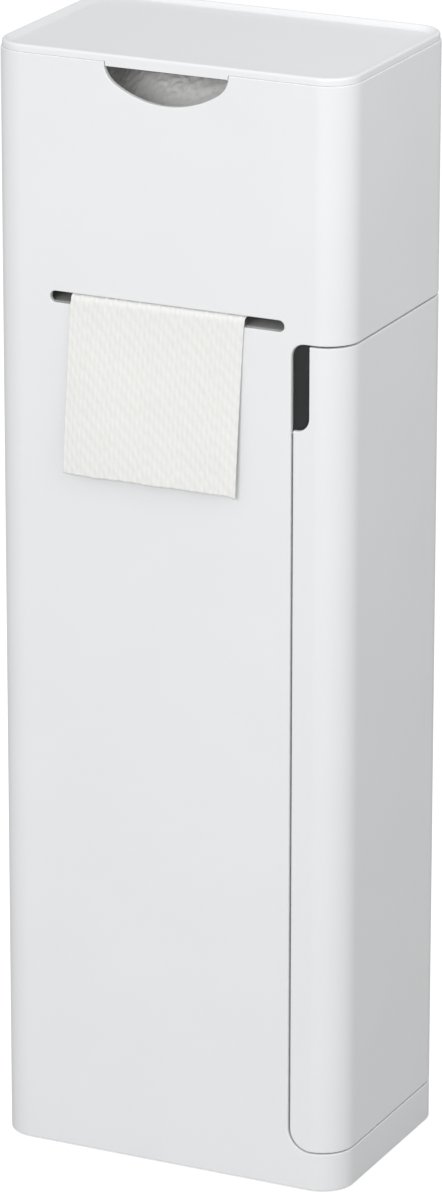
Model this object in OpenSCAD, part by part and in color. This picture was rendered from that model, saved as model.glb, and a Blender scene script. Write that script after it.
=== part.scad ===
// Toilet accessory stand: a slim column that holds one toilet roll behind a slot.
// It has a lift-off tray lid, and a side door over a brush bay and a spare roll bay.
// Origin: middle of the footprint, on the floor. +X is right, -Y is the front, +Z is up.

/* [Column] */
// Width of the column, left to right
col_w = 200; // [196:1:230]
// Depth of the column, front to back
col_d = 130; // [126:1:160]
// Radius of the four upright edges
corner_r = 18; // [15:0.5:22]
// Wall of the column and of the door
wall = 3; // [2.5:0.1:3.5]
// Height of the plinth strip below the door
plinth_h = 21.5; // [18:0.5:40]
// Floor plate above the plinth
floor_t = 3; // [2.5:0.1:4]
// Height of the door bay, from its floor to the shelf's ledge
bay_h = 440.5; // [440.5:0.5:520]

/* [Slot and finger notch] */
// Length of the paper slot, end to end
slot_w = 132; // [112:1:150]
// Height of the paper slot
slot_h = 6; // [5.5:0.1:10]
// Width of the half-moon finger notch at the lid seam
notch_w = 69.5; // [50:0.5:90]
// Depth of the half-moon finger notch
notch_d = 19.5; // [16:0.5:26]
// Radius at the notch's two ends
notch_end_r = 13; // [8:0.5:15]

/* [Toilet roll] */
// Radius of the full roll
roll_r = 56; // [45:0.5:57]
// Width of the roll and of its sheet
roll_w = 98; // [90:0.5:104]
// Sideways place of the roll's middle
roll_x = -5; // [-8:0.5:4]
// Inner radius of the card core
core_r = 20; // [18:0.5:24]
// Wall of the card core
core_t = 0.8; // [0.5:0.1:1.5]
// Room under the roll, above the shelf
roll_clear = 10; // [8:0.5:20]
// Room over the roll, up to the lid seam
head_clear = 7; // [5:0.5:20]
// Thickness of the hanging sheet
sheet_t = 0.6; // [0.4:0.1:0.8]
// Radius in which the sheet bends over the slot's edge
sheet_bend_r = 5.5; // [5:0.1:7]
// Length of sheet that hangs below that bend
sheet_hang = 89; // [30:1:160]

/* [Shelf and spindle] */
// Thickness of the ledge moulded inside the column
ledge_t = 2.5; // [2:0.1:4]
// Width of that ledge
ledge_w = 5; // [4:0.1:7]
// Thickness of the roll shelf
shelf_t = 2.5; // [2:0.1:4]
// Thickness of the two cheeks
cheek_t = 3; // [2.5:0.1:4]
// Width of a cheek at its foot
cheek_w = 70; // [50:1:90]
// Radius of the spindle under the core
spindle_r = 15; // [12:0.5:16]
// Radius of the spindle's end journals
journal_r = 5; // [4:0.1:6]

/* [Lid] */
// Height of the lid's rim above the seam
rim_h = 4; // [3.5:0.1:8]
// Width of the lid's rim on top
rim_w = 2.6; // [2:0.1:5]
// Depth of the tray in the lid
tray_d = 3; // [2:0.1:3.2]
// Thickness of the tray's floor
tray_t = 2.4; // [2:0.1:4]
// How far the lid's rim stands back from the column's face
rim_inset = 0.7; // [0.3:0.1:1.5]
// Depth of the skirt that centres the lid
skirt_h = 8; // [5:0.5:12]
// Depth of the front tab in the finger notch
tab_h = 2.5; // [1.5:0.1:4]

/* [Door] */
// Width of the door's front return, from its free edge to the right side
return_w = 29; // [26:0.5:36]
// Shadow gap between the door's free edge and the column
seam_gap = 1; // [0.6:0.1:2]
// Gap over the door
top_gap = 1; // [0.6:0.1:2]
// Gap under the door
low_gap = 0.8; // [0.6:0.1:2]
// Radius of the door's lower free corner
door_corner_r = 12; // [6:0.5:18]
// Width of the finger pocket at the door's upper free corner
pocket_w = 9; // [9:0.5:16]
// Height of the finger pocket
pocket_h = 45; // [30:1:60]
// Radius at the pocket's inner corner
pocket_r = 7.4; // [4:0.1:8]
// Radius of the bay opening's upper corner
bay_corner_r = 7.5; // [4:0.1:8]
// Radius of the hinge pins
pin_r = 2.5; // [2:0.1:3]
// Thickness of the door's two hinge lugs
lug_t = 3; // [2.5:0.1:5]

/* [Brush set] */
// Radius of the brush tub at its rim
tub_r = 34; // [31:0.5:34.5]
// Height of the brush tub
tub_h = 100; // [80:1:110]
// Wall of the brush tub
tub_t = 2; // [1.6:0.1:3]
// Front to back place of the brush tub's middle
tub_y = -8; // [-14:1:2]
// Full length of the brush
brush_len = 318; // [290:1:320]
// Radius of the bristle head
bristle_r = 24; // [20:0.5:25]
// Height of the bristle head
bristle_h = 68; // [50:1:72]
// Height of the splash divider between the two bays
divider_h = 128; // [90:1:200]
// Thickness of the splash divider
divider_t = 2.5; // [2:0.1:3]

/* [Hidden] */
$fn = 96;

// Clearances
fit = 0.02;      // pressed or moulded-in round fit
run = 0.05;      // running fit at a pin
loose = 0.4;     // a piece dropped into its place
seat = 0.3;      // a round piece over what carries it
eps = 0.01;
over = 1;        // how far a cut runs past a face
weld = 0.5;      // how far a rib or lug is rooted in its wall

// Column
foot_proud = 0.6;
in_w = col_w - 2 * wall;
in_d = col_d - 2 * wall;
in_r = corner_r - wall;
bay_top = plinth_h + bay_h;
shelf_z = bay_top + ledge_t;
shelf_top = shelf_z + shelf_t;
seam_z = shelf_top + roll_clear + 2 * roll_r + head_clear;

// Feet and the ribs under the floor
post_r = 10;
pad_r = 8;
pad_t = 1.5;
pad_edge = 0.4;          // bevel round a pad's foot
rib_t = 2;
rib_low_z = 6;

// Hinge axis: the middle of the right rear upright edge
hinge_x = col_w / 2 - corner_r;
hinge_y = col_d / 2 - corner_r;
cove_gap = 0.4;          // between the door's turned edge and the column
cove_lip = 0.8;          // thickness of the back wall's free edge at the cove
cove_tip_x = hinge_x - sqrt(pow(corner_r + cove_gap, 2) - pow(corner_r - cove_lip, 2));
tuck_angle = 19;         // how far the door's edge runs on towards the column's back wall
pin_low_z = 9;
boss_r = 6;
lug_r = in_r;
lug_reach = 7;           // from the hinge axis to a lug's free sides
collar_r = 4.5;
collar_gap = 0.3;
low_lug_z = plinth_h + 3;
top_lug_drop = 10;       // from the bay's top to the upper lug's underside
top_lug_z = bay_top - top_lug_drop;
pin_stand = 3;           // how far a pin stands through its lug
pin_tip_gap = 1;         // air at the end of a pin

// Door
door_x = col_w / 2 - return_w;
door_z = plinth_h + low_gap;
door_h = bay_h - low_gap - top_gap;
bay_x = door_x - seam_gap;

// Slot
slot_z = shelf_top + slot_h / 2;

// Half-moon finger notch: one wide arc, and a tighter one at each end that meets the seam upright
notch_r = (pow(notch_d, 2) + pow(notch_w / 2, 2) - notch_w * notch_end_r) / (2 * (notch_d - notch_end_r));
notch_z = seam_z - notch_d + notch_r;
notch_end_x = notch_w / 2 - notch_end_r;

// Roll and spindle
roll_z = shelf_top + roll_clear + roll_r;
spindle_z = roll_z + core_r - spindle_r - seat;
cheek_gap = 3;           // between the roll's side and a cheek
cheek_x = roll_w / 2 + cheek_gap;
notch_play = 0.3;        // a journal in its cheek notch
cheek_round = 13;
gusset_t = 2.5;
gusset_off = 4;          // from a cheek's quarter line out to its gusset
gusset_h = 40;
gusset_w = 14;
gusset_low = 2;          // height of a gusset at its free end
gusset_top = 1.5;        // width of a gusset at its top

// Screws
screw_r = 1.4;
screw_hole_r = 1.5;
head_r = 3;
head_t = 2;
shelf_boss_r = 5;
shelf_boss_h = 8;
shelf_screw_len = 9;
boss_in = 4.6;           // from the inner wall to a boss's middle
boss_off_door = 41;      // from the door's free edge to the right pair of bosses
shelf_screws_at = [
    [-(in_w / 2 - corner_r + wall), in_d / 2 - boss_in],
    [-(in_w / 2 - corner_r + wall), -(in_d / 2 - boss_in)],
    [door_x - boss_off_door, in_d / 2 - boss_in],
    [door_x - boss_off_door, -(in_d / 2 - boss_in)]];

// Magnet catch, under the ledge beside the door's front corner
catch_w = 18.6;
catch_d = 22;
catch_h = 12;
catch_gap = 0.3;
strike_t = 1;
catch_x = in_w / 2 - strike_t - catch_gap - catch_w / 2;
catch_y = -(hinge_y - catch_d / 2 - 1);
catch_pad_over = 2;
magnet_w = 6;
magnet_d = 14;
magnet_h = 8;
catch_screw_x = -5.5;
catch_screw_y = 6.5;
rivet_r = 1.2;
rivet_y = 6;

// Brush bay
bay_gap = 6;             // between the tub and the door's inner face
tub_x = in_w / 2 - bay_gap - tub_r;
tub_base_r = tub_r - 3;
tub_z = plinth_h + seat;
tub_floor_t = 3;
ring_h = 4;
ring_t = 2;
collar_z = tub_z + tub_h + 0.2;
collar_t = 2.4;
collar_dome = 5;
collar_neck = 3;         // wall of the collar's neck round the shaft
collar_neck_h = 9;       // height of that neck over the dome
brush_z = tub_z + tub_floor_t + 3.2;
brush_top = brush_z + brush_len;
shaft_r = 5;
shaft_in = 6;            // what an end piece keeps over the shaft's end
grip_len = 112;
grip_r = 10;
grip_waist_r = 7;
cap_h = 8;
block_r = 9;
divider_x = tub_x - tub_r - 3.5 - divider_t;
rail_h = 5;
rail_t = 1.6;
rail_gap = 0.3;

// Lid
lid_w = col_w - 2 * rim_inset;
lid_d = col_d - 2 * rim_inset;
lid_r = corner_r - rim_inset;
tray_z = seam_z + rim_h - tray_d;
rim_round = 1.1;
rim_slope = 1.8;         // width of the soft slope from the rim to the tray's floor
skirt_t = 2;
skirt_gap_w = notch_w + 4;
tab_gap = 0.4;

// Sheet: the middle line runs round the roll, straight to the slot, over the edge and down
wrap_angle = 18;
line_r = roll_r + seat + sheet_t / 2;
bend_y = -col_d / 2 + 0.5;
bend_z = slot_z + slot_h / 2 - sheet_bend_r - sheet_t / 2 - 0.6;
bend_span = sqrt(pow(bend_y, 2) + pow(roll_z - bend_z, 2));
bend_dir = atan2(bend_z - roll_z, bend_y);
line_dir = bend_dir - asin((line_r + sheet_bend_r) / bend_span);
hang_in = 1.6;           // how far the sheet's foot leans back to the column
hang_steps = 12;

white = [0.94, 0.94, 0.93];
shade = [0.86, 0.86, 0.85];
steel = [0.75, 0.76, 0.78];
rubber = [0.25, 0.25, 0.26];
paper = [0.97, 0.96, 0.93];
card = [0.72, 0.63, 0.5];
charcoal = [0.3, 0.31, 0.32];

// Plain shapes

module rounded_rect(w, d, r) {
    square([w - 2 * r, d], center = true);
    square([w, d - 2 * r], center = true);
    for (x = [-1, 1], y = [-1, 1])
        translate([x * (w / 2 - r), y * (d / 2 - r)]) circle(r);
}

module ring(w, d, r, t) {
    difference() {
        rounded_rect(w, d, r);
        rounded_rect(w - 2 * t, d - 2 * t, r - t);
    }
}

// A flat shape drawn in X and Z, run along Y from y0 to y1
module along_y(y0, y1) {
    translate([0, y1, 0]) rotate([90, 0, 0]) linear_extrude(y1 - y0) children();
}

// A flat shape drawn in Y and Z, run along X from x0 to x1
module along_x(x0, x1) {
    translate([x0, 0, 0]) rotate([90, 0, 90]) linear_extrude(x1 - x0) children();
}

// A profile, x inwards from the outer face and y up, run round a rounded rectangle
module around(w, d, r) {
    for (i = [0:3])
        rotate(90 * i)
            let (a = i % 2 == 0 ? w : d, b = i % 2 == 0 ? d : w) {
                translate([a / 2 - r, b / 2 - r, 0])
                    rotate_extrude(angle = 90) translate([r, 0]) mirror([1, 0]) children();
                translate([a / 2, -b / 2 + r, 0])
                    rotate([90, 0, 180]) linear_extrude(b - 2 * r) children();
            }
}

// Column

// The bay's opening: front return, right side and the cove round the hinge axis
module bay_opening() {
    far = col_w / 2 + over;
    along_y(-col_d / 2 - over, -hinge_y) bay_front_outline(hinge_x + over);
    translate([hinge_x, -col_d / 2 - over, plinth_h]) cube([far - hinge_x, col_d + 2 * over, bay_h]);
    translate([hinge_x, hinge_y, plinth_h]) cylinder(h = bay_h, r = corner_r + cove_gap);
    translate([cove_tip_x, hinge_y, plinth_h]) cube([far - cove_tip_x, corner_r + over, bay_h]);
}

module bay_front_outline(x1) {
    r_low = door_corner_r + seam_gap / 2;
    r_top = bay_corner_r;
    difference() {
        translate([bay_x, plinth_h]) square([x1 - bay_x, bay_h]);
        corner_fill(bay_x, plinth_h, r_low, 1);
        corner_fill(bay_x, bay_top, r_top, -1);
    }
}

// What a rounded corner leaves standing at (x, z); up is 1 for a lower corner
module corner_fill(x, z, r, up) {
    difference() {
        translate([x - over, up > 0 ? z - over : z - r]) square([r + over, r + over]);
        translate([x + r, z + up * r]) circle(r);
    }
}

module slot_outline() {
    translate([0, slot_z]) {
        square([slot_w - slot_h, slot_h], center = true);
        for (x = [-1, 1]) translate([x * (slot_w - slot_h) / 2, 0]) circle(slot_h / 2);
    }
}

// The half-moon, smaller all round by gap
module notch_outline(gap) {
    meet = notch_end_x * (notch_r - gap) / (notch_r - notch_end_r);
    intersection() {
        translate([0, notch_z]) circle(notch_r - gap);
        translate([-meet, seam_z - notch_d - over]) square([2 * meet, notch_d + 2 * over]);
    }
    for (x = [-1, 1]) translate([x * notch_end_x, seam_z]) circle(notch_end_r - gap);
}

module notch_cut(gap) {
    along_y(-col_d / 2 - over, -in_d / 2 + 2 * over) notch_outline(gap);
}

module column_shell() {
    difference() {
        translate([0, 0, foot_proud]) linear_extrude(seam_z - foot_proud) ring(col_w, col_d, corner_r, wall);
        bay_opening();
        along_y(-col_d / 2 - over, -in_d / 2 + over) slot_outline();
        notch_cut(0);
    }
}

module column_floor() {
    difference() {
        union() {
            translate([0, 0, plinth_h - floor_t])
                linear_extrude(floor_t) rounded_rect(in_w + weld, in_d + weld, in_r + weld / 2);
            for (x = [-1, 1], y = [-1, 1])
                translate([x * hinge_x, y * hinge_y, foot_proud])
                    cylinder(h = plinth_h - floor_t - foot_proud + eps, r = post_r);
            for (y = [-1, 1])
                translate([-in_w / 2 - weld, y * hinge_y - rib_t / 2, rib_low_z])
                    cube([in_w + 2 * weld, rib_t, plinth_h - floor_t - rib_low_z + eps]);
            for (x = [-1, 0, 1])
                translate([x * hinge_x - rib_t / 2, -in_d / 2 - weld, rib_low_z])
                    cube([rib_t, in_d + 2 * weld, plinth_h - floor_t - rib_low_z + eps]);
        }
        for (x = [-1, 1], y = [-1, 1])
            translate([x * hinge_x, y * hinge_y, 0]) cylinder(h = pad_t, r = pad_r + run);
        translate([hinge_x, hinge_y, pin_low_z - pin_tip_gap])
            cylinder(h = plinth_h - pin_low_z + pin_tip_gap + over, r = pin_r + run);
    }
}

// A low ring that keeps the tub in its place, and two rails for the splash divider
module floor_guides() {
    root = eps;
    translate([tub_x, tub_y, plinth_h - root]) difference() {
        cylinder(h = ring_h + root, r = tub_base_r + loose + ring_t);
        translate([0, 0, -over]) cylinder(h = ring_h + 2 * over, r = tub_base_r + loose);
    }
    for (x = [divider_x - rail_gap - rail_t, divider_x + divider_t + rail_gap])
        translate([x, -in_d / 2 - weld, plinth_h - root]) cube([rail_t, in_d + 2 * weld, rail_h + root]);
}

module shelf_ledge() {
    difference() {
        union() {
            translate([0, 0, bay_top]) linear_extrude(ledge_t) {
                ring(in_w + weld, in_d + weld, in_r + weld / 2, ledge_w + weld / 2);
                catch_pad_outline();
            }
            for (p = shelf_screws_at)
                translate([p.x, p.y, bay_top - shelf_boss_h])
                    cylinder(h = shelf_boss_h + ledge_t, r = shelf_boss_r);
        }
        for (p = shelf_screws_at)
            translate([p.x, p.y, bay_top - shelf_boss_h + 1])
                cylinder(h = shelf_boss_h + ledge_t, r = screw_r + run);
        for (y = [-1, 1])
            translate([catch_x + catch_screw_x, catch_y + y * catch_screw_y, bay_top - over])
                cylinder(h = ledge_t + 2 * over, r = screw_r + run);
    }
}

// The ledge grows a pad over the magnet catch
module catch_pad_outline() {
    x0 = catch_x - catch_w / 2 - catch_pad_over;
    y1 = catch_y + catch_d / 2 + catch_pad_over;
    translate([x0, -in_d / 2]) square([in_w / 2 - in_r - x0, y1 + in_d / 2]);
    translate([x0, -hinge_y]) square([in_w / 2 - x0, y1 + hinge_y]);
}

module housing() {
    color(white) union() {
        column_shell();
        column_floor();
        floor_guides();
        shelf_ledge();
    }
}

module rubber_feet() {
    color(rubber)
        for (x = [-1, 1], y = [-1, 1])
            translate([x * hinge_x, y * hinge_y, 0]) rotate_extrude()
                polygon([[0, 0], [pad_r - pad_edge, 0], [pad_r, pad_edge], [pad_r, pad_t], [0, pad_t]]);
}

// Roll shelf and what stands on it

// Where a line from (b, 0) touches a circle of radius r about (0, h), on the right
function touch(b, h, r) =
    let (a = atan2(h, -b) - asin(r / sqrt(b * b + h * h)) - 90) [r * cos(a), h + r * sin(a)];

module cheek_outline() {
    h = spindle_z - shelf_top;
    t = touch(cheek_w / 2, h, cheek_round);
    difference() {
        union() {
            polygon([[-cheek_w / 2, -eps], [cheek_w / 2, -eps], [cheek_w / 2, 0], t, [-t.x, t.y],
                [-cheek_w / 2, 0]]);
            translate([0, h]) circle(cheek_round);
        }
        translate([0, h]) circle(journal_r + notch_play);
        translate([-journal_r - notch_play, h]) square([2 * (journal_r + notch_play), cheek_round + over]);
    }
}

module cheek() {
    translate([0, 0, shelf_top]) along_x(0, cheek_t) cheek_outline();
    for (y = [-1, 1])
        translate([cheek_t - eps, y * (cheek_w / 4 + gusset_off) - gusset_t / 2, shelf_top - eps])
            translate([0, gusset_t, 0]) rotate([90, 0, 0]) linear_extrude(gusset_t)
                polygon([[0, 0], [gusset_w, 0], [gusset_w, gusset_low], [gusset_top, gusset_h], [0, gusset_h]]);
}

module roll_shelf() {
    color(shade) difference() {
        union() {
            translate([0, 0, shelf_z])
                linear_extrude(shelf_t) rounded_rect(in_w - 2 * loose, in_d - 2 * loose, in_r - loose);
            translate([roll_x + cheek_x, 0, 0]) cheek();
            translate([roll_x - cheek_x, 0, 0]) mirror([1, 0, 0]) cheek();
            translate([hinge_x, hinge_y, top_lug_z + lug_t + 1])
                cylinder(h = shelf_z + eps - top_lug_z - lug_t - 1, r = boss_r);
        }
        translate([hinge_x, hinge_y, top_lug_z])
            cylinder(h = shelf_top - 1 - top_lug_z, r = pin_r + run);
        for (p = shelf_screws_at)
            translate([p.x, p.y, shelf_z - over]) cylinder(h = shelf_t + 2 * over, r = screw_hole_r);
    }
}

module screw(len) {
    translate([0, 0, -len]) cylinder(h = len, r = screw_r);
    difference() {
        cylinder(h = head_t, r = head_r);
        for (a = [0, 90]) rotate(a) translate([-1.8, -0.35, head_t - 0.9]) cube([3.6, 0.7, 1]);
    }
}

module shelf_screws() {
    color(steel) for (p = shelf_screws_at) translate([p.x, p.y, shelf_top]) screw(shelf_screw_len);
}

module spindle() {
    half = roll_w / 2 + 2;
    tip = cheek_x + cheek_t + 1;
    color(white) translate([roll_x, 0, spindle_z]) rotate([0, 90, 0]) rotate_extrude()
        polygon([[0, -tip], [journal_r - 0.8, -tip], [journal_r, 0.8 - tip], [journal_r, -half],
            [spindle_r - 1, -half], [spindle_r, 1 - half], [spindle_r, -4], [spindle_r - 0.6, -3.4],
            [spindle_r - 0.6, 3.4], [spindle_r, 4], [spindle_r, half - 1], [spindle_r - 1, half],
            [journal_r, half], [journal_r, tip - 0.8], [journal_r - 0.8, tip], [0, tip]]);
}

module splash_divider() {
    r = 14;
    half = in_d / 2 - loose;
    color(shade) translate([0, 0, plinth_h]) along_x(divider_x, divider_x + divider_t) {
        translate([-half, 0]) square([2 * half, divider_h - r]);
        translate([-half + r, 0]) square([2 * (half - r), divider_h]);
        for (y = [-1, 1]) translate([y * (half - r), divider_h - r]) circle(r);
    }
}

// Magnet catch

module catch_housing() {
    r = 2;
    color(charcoal) translate([catch_x, catch_y, bay_top - catch_h]) difference() {
        linear_extrude(catch_h) rounded_rect(catch_w, catch_d, r);
        translate([catch_w / 2 - magnet_w, -magnet_d / 2 - fit, (catch_h - magnet_h) / 2 - fit])
            cube([magnet_w + over, magnet_d + 2 * fit, magnet_h + 2 * fit]);
        for (y = [-1, 1])
            translate([catch_screw_x, y * catch_screw_y, -over])
                cylinder(h = catch_h + 2 * over, r = screw_hole_r);
    }
}

module catch_magnet() {
    color(steel) translate([catch_x + catch_w / 2 - magnet_w, catch_y - magnet_d / 2,
        bay_top - (catch_h + magnet_h) / 2]) cube([magnet_w, magnet_d, magnet_h]);
}

module catch_screws() {
    color(steel) for (y = [-1, 1])
        translate([catch_x + catch_screw_x, catch_y + y * catch_screw_y, bay_top - catch_h])
            mirror([0, 0, 1]) screw(catch_h + ledge_t - 0.3);
}

// Paper sheet

function on_circle(c, r, a) = [c.x + r * cos(a), c.y + r * sin(a)];

// The sheet's middle line as [y, z, direction of travel]
function sheet_line() = [
    for (i = [0:6])
        let (a = line_dir + 90 + wrap_angle * (6 - i) / 6)
            concat(on_circle([0, roll_z], line_r, a), a - 90),
    for (i = [0:16])
        let (a = line_dir - 90 + (line_dir - 90 < -180 ? 360 : 0), b = a + (180 - a) * i / 16)
            concat(on_circle([bend_y, bend_z], sheet_bend_r, b), b + 90),
    for (i = [1:hang_steps])
        let (s = i / hang_steps)
            [bend_y - sheet_bend_r + hang_in * s * s, bend_z - sheet_hang * s,
                270 + atan(2 * hang_in * s / sheet_hang)]];

function beside(p, d) = [p[0] - d * sin(p[2]), p[1] + d * cos(p[2])];

module paper_sheet() {
    line = sheet_line();
    n = len(line);
    color(paper) along_x(roll_x - roll_w / 2, roll_x + roll_w / 2)
        polygon(concat([for (p = line) beside(p, sheet_t / 2)],
            [for (i = [n - 1:-1:0]) beside(line[i], -sheet_t / 2)]));
}

// Lid

module rim_profile() {
    translate([0, seam_z]) difference() {
        union() {
            square([rim_w + rim_slope, rim_h - rim_round]);
            translate([rim_round, 0]) square([rim_w - 2 * rim_round, rim_h]);
            for (x = [rim_round, rim_w - rim_round])
                translate([x, rim_h - rim_round]) circle(rim_round);
        }
        polygon([[rim_w, rim_h], [rim_w, rim_h - rim_round], [rim_w + rim_slope, rim_h - tray_d],
            [rim_w + rim_slope + over, rim_h - tray_d], [rim_w + rim_slope + over, rim_h]]);
    }
}

module lid_tray() {
    plug_w = in_w - 2 * loose;
    plug_d = in_d - 2 * loose;
    plug_r = in_r - loose;
    color(white) union() {
        around(lid_w, lid_d, lid_r) rim_profile();
        translate([0, 0, seam_z]) linear_extrude(tray_z - seam_z)
            rounded_rect(lid_w - 2 * rim_w, lid_d - 2 * rim_w, lid_r - rim_w);
        translate([0, 0, tray_z - tray_t])
            linear_extrude(tray_t - eps) rounded_rect(plug_w, plug_d, plug_r);
        difference() {
            translate([0, 0, seam_z - skirt_h]) linear_extrude(skirt_h) ring(plug_w, plug_d, plug_r, skirt_t);
            translate([-skirt_gap_w / 2, -col_d / 2, seam_z - skirt_h - over])
                cube([skirt_gap_w, col_d / 2, skirt_h + over - (tray_t - (tray_z - seam_z))]);
        }
        intersection() {
            translate([-notch_w / 2, -lid_d / 2, seam_z - tab_h])
                cube([notch_w, wall + loose + weld - rim_inset, tab_h + eps]);
            notch_cut(tab_gap);
        }
    }
}

// Door

module door_plan() {
    difference() {
        ring(col_w, col_d, corner_r, wall);
        translate([-col_w / 2 - over, -col_d / 2 - over])
            square([door_x + col_w / 2 + over, col_d + 2 * over]);
        translate([-col_w / 2 - over, 0]) square([hinge_x + col_w / 2 + over, col_d]);
    }
    // the turned rear edge runs on round the hinge axis, behind the column's back wall
    translate([hinge_x, hinge_y]) intersection() {
        difference() {
            circle(corner_r);
            circle(in_r);
        }
        polygon([[eps, 0], [eps, 2 * corner_r], [-2 * corner_r * tan(tuck_angle), 2 * corner_r], [0, 0]]);
    }
}

module lug_outline() {
    intersection() {
        circle(lug_r + weld);
        translate([-lug_reach, -lug_reach]) square(2 * corner_r);
    }
}

module door_panel() {
    far = door_x + pocket_w + door_corner_r + over;
    color(white) difference() {
        union() {
            translate([0, 0, door_z]) linear_extrude(door_h) door_plan();
            for (z = [low_lug_z, top_lug_z])
                translate([hinge_x, hinge_y, z]) linear_extrude(lug_t) lug_outline();
        }
        along_y(-col_d / 2 - over, -hinge_y) {
            corner_fill(door_x, door_z, door_corner_r, 1);
            pocket_outline(door_z + door_h - pocket_h);
        }
        for (z = [low_lug_z, top_lug_z])
            translate([hinge_x, hinge_y, z - over]) cylinder(h = lug_t + 2 * over, r = pin_r + fit);
    }
}

// The pocket is open to the left and to the top, with one rounded inner corner
module pocket_outline(z) {
    x1 = door_x + pocket_w;
    translate([door_x - over, z]) square([pocket_w + over - pocket_r, pocket_h + over]);
    translate([door_x - over, z + pocket_r]) square([pocket_w + over, pocket_h + over - pocket_r]);
    translate([x1 - pocket_r, z + pocket_r]) circle(pocket_r);
}

module upper_hinge_pin() {
    z0 = top_lug_z - pin_stand;
    color(steel) translate([hinge_x, hinge_y, z0])
        cylinder(h = shelf_top - 1 - pin_tip_gap - z0, r = pin_r);
}

// The lower pin's collar carries the door on the floor's boss
module lower_hinge_pin() {
    z1 = low_lug_z + lug_t + pin_stand;
    collar_low = plinth_h + collar_gap;
    color(steel) translate([hinge_x, hinge_y, 0]) rotate_extrude()
        polygon([[0, pin_low_z], [pin_r, pin_low_z], [pin_r, collar_low], [collar_r, collar_low],
            [collar_r, low_lug_z], [pin_r, low_lug_z], [pin_r, z1], [0, z1]]);
}

module strike_plate() {
    color(steel) translate([in_w / 2 - strike_t, catch_y, bay_top - catch_h / 2 - 1])
        rotate([90, 0, 90]) linear_extrude(strike_t) difference() {
            rounded_rect(catch_d, catch_h - 1, 2);
            for (y = [-1, 1]) translate([y * rivet_y, 0]) circle(rivet_r + fit);
        }
}

module strike_rivets() {
    color(steel) for (y = [-1, 1])
        translate([in_w / 2 - strike_t, catch_y + y * rivet_y, bay_top - catch_h / 2 - 1])
            rotate([0, 90, 0]) cylinder(h = strike_t, r = rivet_r);
}

// Toilet roll

module paper_roll() {
    r = 2;
    half = roll_w / 2;
    hole = core_r + core_t + 0.1;
    color(paper) translate([roll_x, 0, roll_z]) rotate([0, 90, 0]) rotate_extrude() {
        translate([hole, -half]) square([roll_r - r - hole, 2 * half]);
        translate([hole, -half + r]) square([roll_r - hole, 2 * (half - r)]);
        for (x = [-1, 1]) translate([roll_r - r, x * (half - r)]) circle(r);
    }
}

module roll_core() {
    color(card) translate([roll_x - roll_w / 2, 0, roll_z]) rotate([0, 90, 0]) difference() {
        cylinder(h = roll_w, r = core_r + core_t);
        translate([0, 0, -over]) cylinder(h = roll_w + 2 * over, r = core_r);
    }
}

// Brush set

module brush_tub() {
    lip = 1;
    color(shade) translate([tub_x, tub_y, tub_z]) rotate_extrude()
        polygon([[0, 0], [tub_base_r - 2, 0], [tub_base_r, 2], [tub_r - lip, tub_h - 4], [tub_r, tub_h - 3],
            [tub_r, tub_h], [tub_r - lip - tub_t, tub_h], [tub_base_r - tub_t, tub_floor_t + 2],
            [tub_base_r - tub_t - 2, tub_floor_t], [0, tub_floor_t]]);
}

// The shaft runs from the bristle block up into the grip
module brush_shaft() {
    z0 = brush_z + shaft_in;
    z1 = brush_top - cap_h - shaft_in;
    color(white) translate([tub_x, tub_y, z0]) cylinder(h = z1 - z0, r = shaft_r);
}

module handle_grip() {
    z0 = brush_top - cap_h - grip_len;
    color(white) translate([tub_x, tub_y, z0]) difference() {
        rotate_extrude() {
            n = 12;
            polygon(concat([[0, 0], [grip_waist_r, 0]],
                [for (i = [1:n]) [grip_waist_r + (grip_r - grip_waist_r) * (1 - cos(180 * i / n)) / 2,
                    grip_len * i / n]], [[0, grip_len]]));
        }
        translate([0, 0, -over]) cylinder(h = grip_len - shaft_in + over, r = shaft_r + fit);
    }
}

module grip_cap() {
    color(charcoal) translate([tub_x, tub_y, brush_top - cap_h]) rotate_extrude() {
        square([grip_r - 3, cap_h]);
        square([grip_r, cap_h - 3]);
        translate([grip_r - 3, cap_h - 3]) circle(3);
    }
}

// The collar rests on the tub's rim and closes it
module splash_collar() {
    r = tub_r - 0.5;
    neck_r = shaft_r + collar_neck;
    neck_z = collar_t + collar_dome;
    color(shade) translate([tub_x, tub_y, collar_z]) difference() {
        rotate_extrude()
            polygon([[0, 0], [r, 0], [r, collar_t], [neck_r + collar_neck, neck_z],
                [neck_r, neck_z + collar_neck], [neck_r, neck_z + collar_neck_h],
                [0, neck_z + collar_neck_h]]);
        translate([0, 0, -over]) cylinder(h = neck_z + collar_neck_h + 2 * over, r = shaft_r + fit);
    }
}

module bristle_block() {
    z0 = brush_z + 3;
    color(white) translate([tub_x, tub_y, z0]) difference() {
        union() {
            cylinder(h = bristle_h, r = block_r);
            translate([0, 0, bristle_h - eps]) cylinder(h = 6, r1 = block_r, r2 = shaft_r + 1);
        }
        translate([0, 0, 3]) cylinder(h = bristle_h + 6, r = shaft_r + fit);
    }
}

module bristle_head() {
    r = 8;
    color(charcoal) translate([tub_x, tub_y, brush_z]) difference() {
        rotate_extrude() {
            translate([0, 0]) square([bristle_r - r, bristle_h]);
            translate([0, r]) square([bristle_r, bristle_h - 2 * r]);
            for (z = [r, bristle_h - r]) translate([bristle_r - r, z]) circle(r);
        }
        translate([0, 0, 3]) cylinder(h = bristle_h, r = block_r + fit);
    }
}

housing();
rubber_feet();
roll_shelf();
shelf_screws();
spindle();
splash_divider();
catch_housing();
catch_magnet();
catch_screws();
paper_sheet();
lid_tray();
door_panel();
upper_hinge_pin();
lower_hinge_pin();
strike_plate();
strike_rivets();
paper_roll();
roll_core();
brush_tub();
brush_shaft();
handle_grip();
grip_cap();
splash_collar();
bristle_block();
bristle_head();
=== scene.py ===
import math

import bmesh
import bpy
from mathutils import Matrix, Vector, noise


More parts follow.
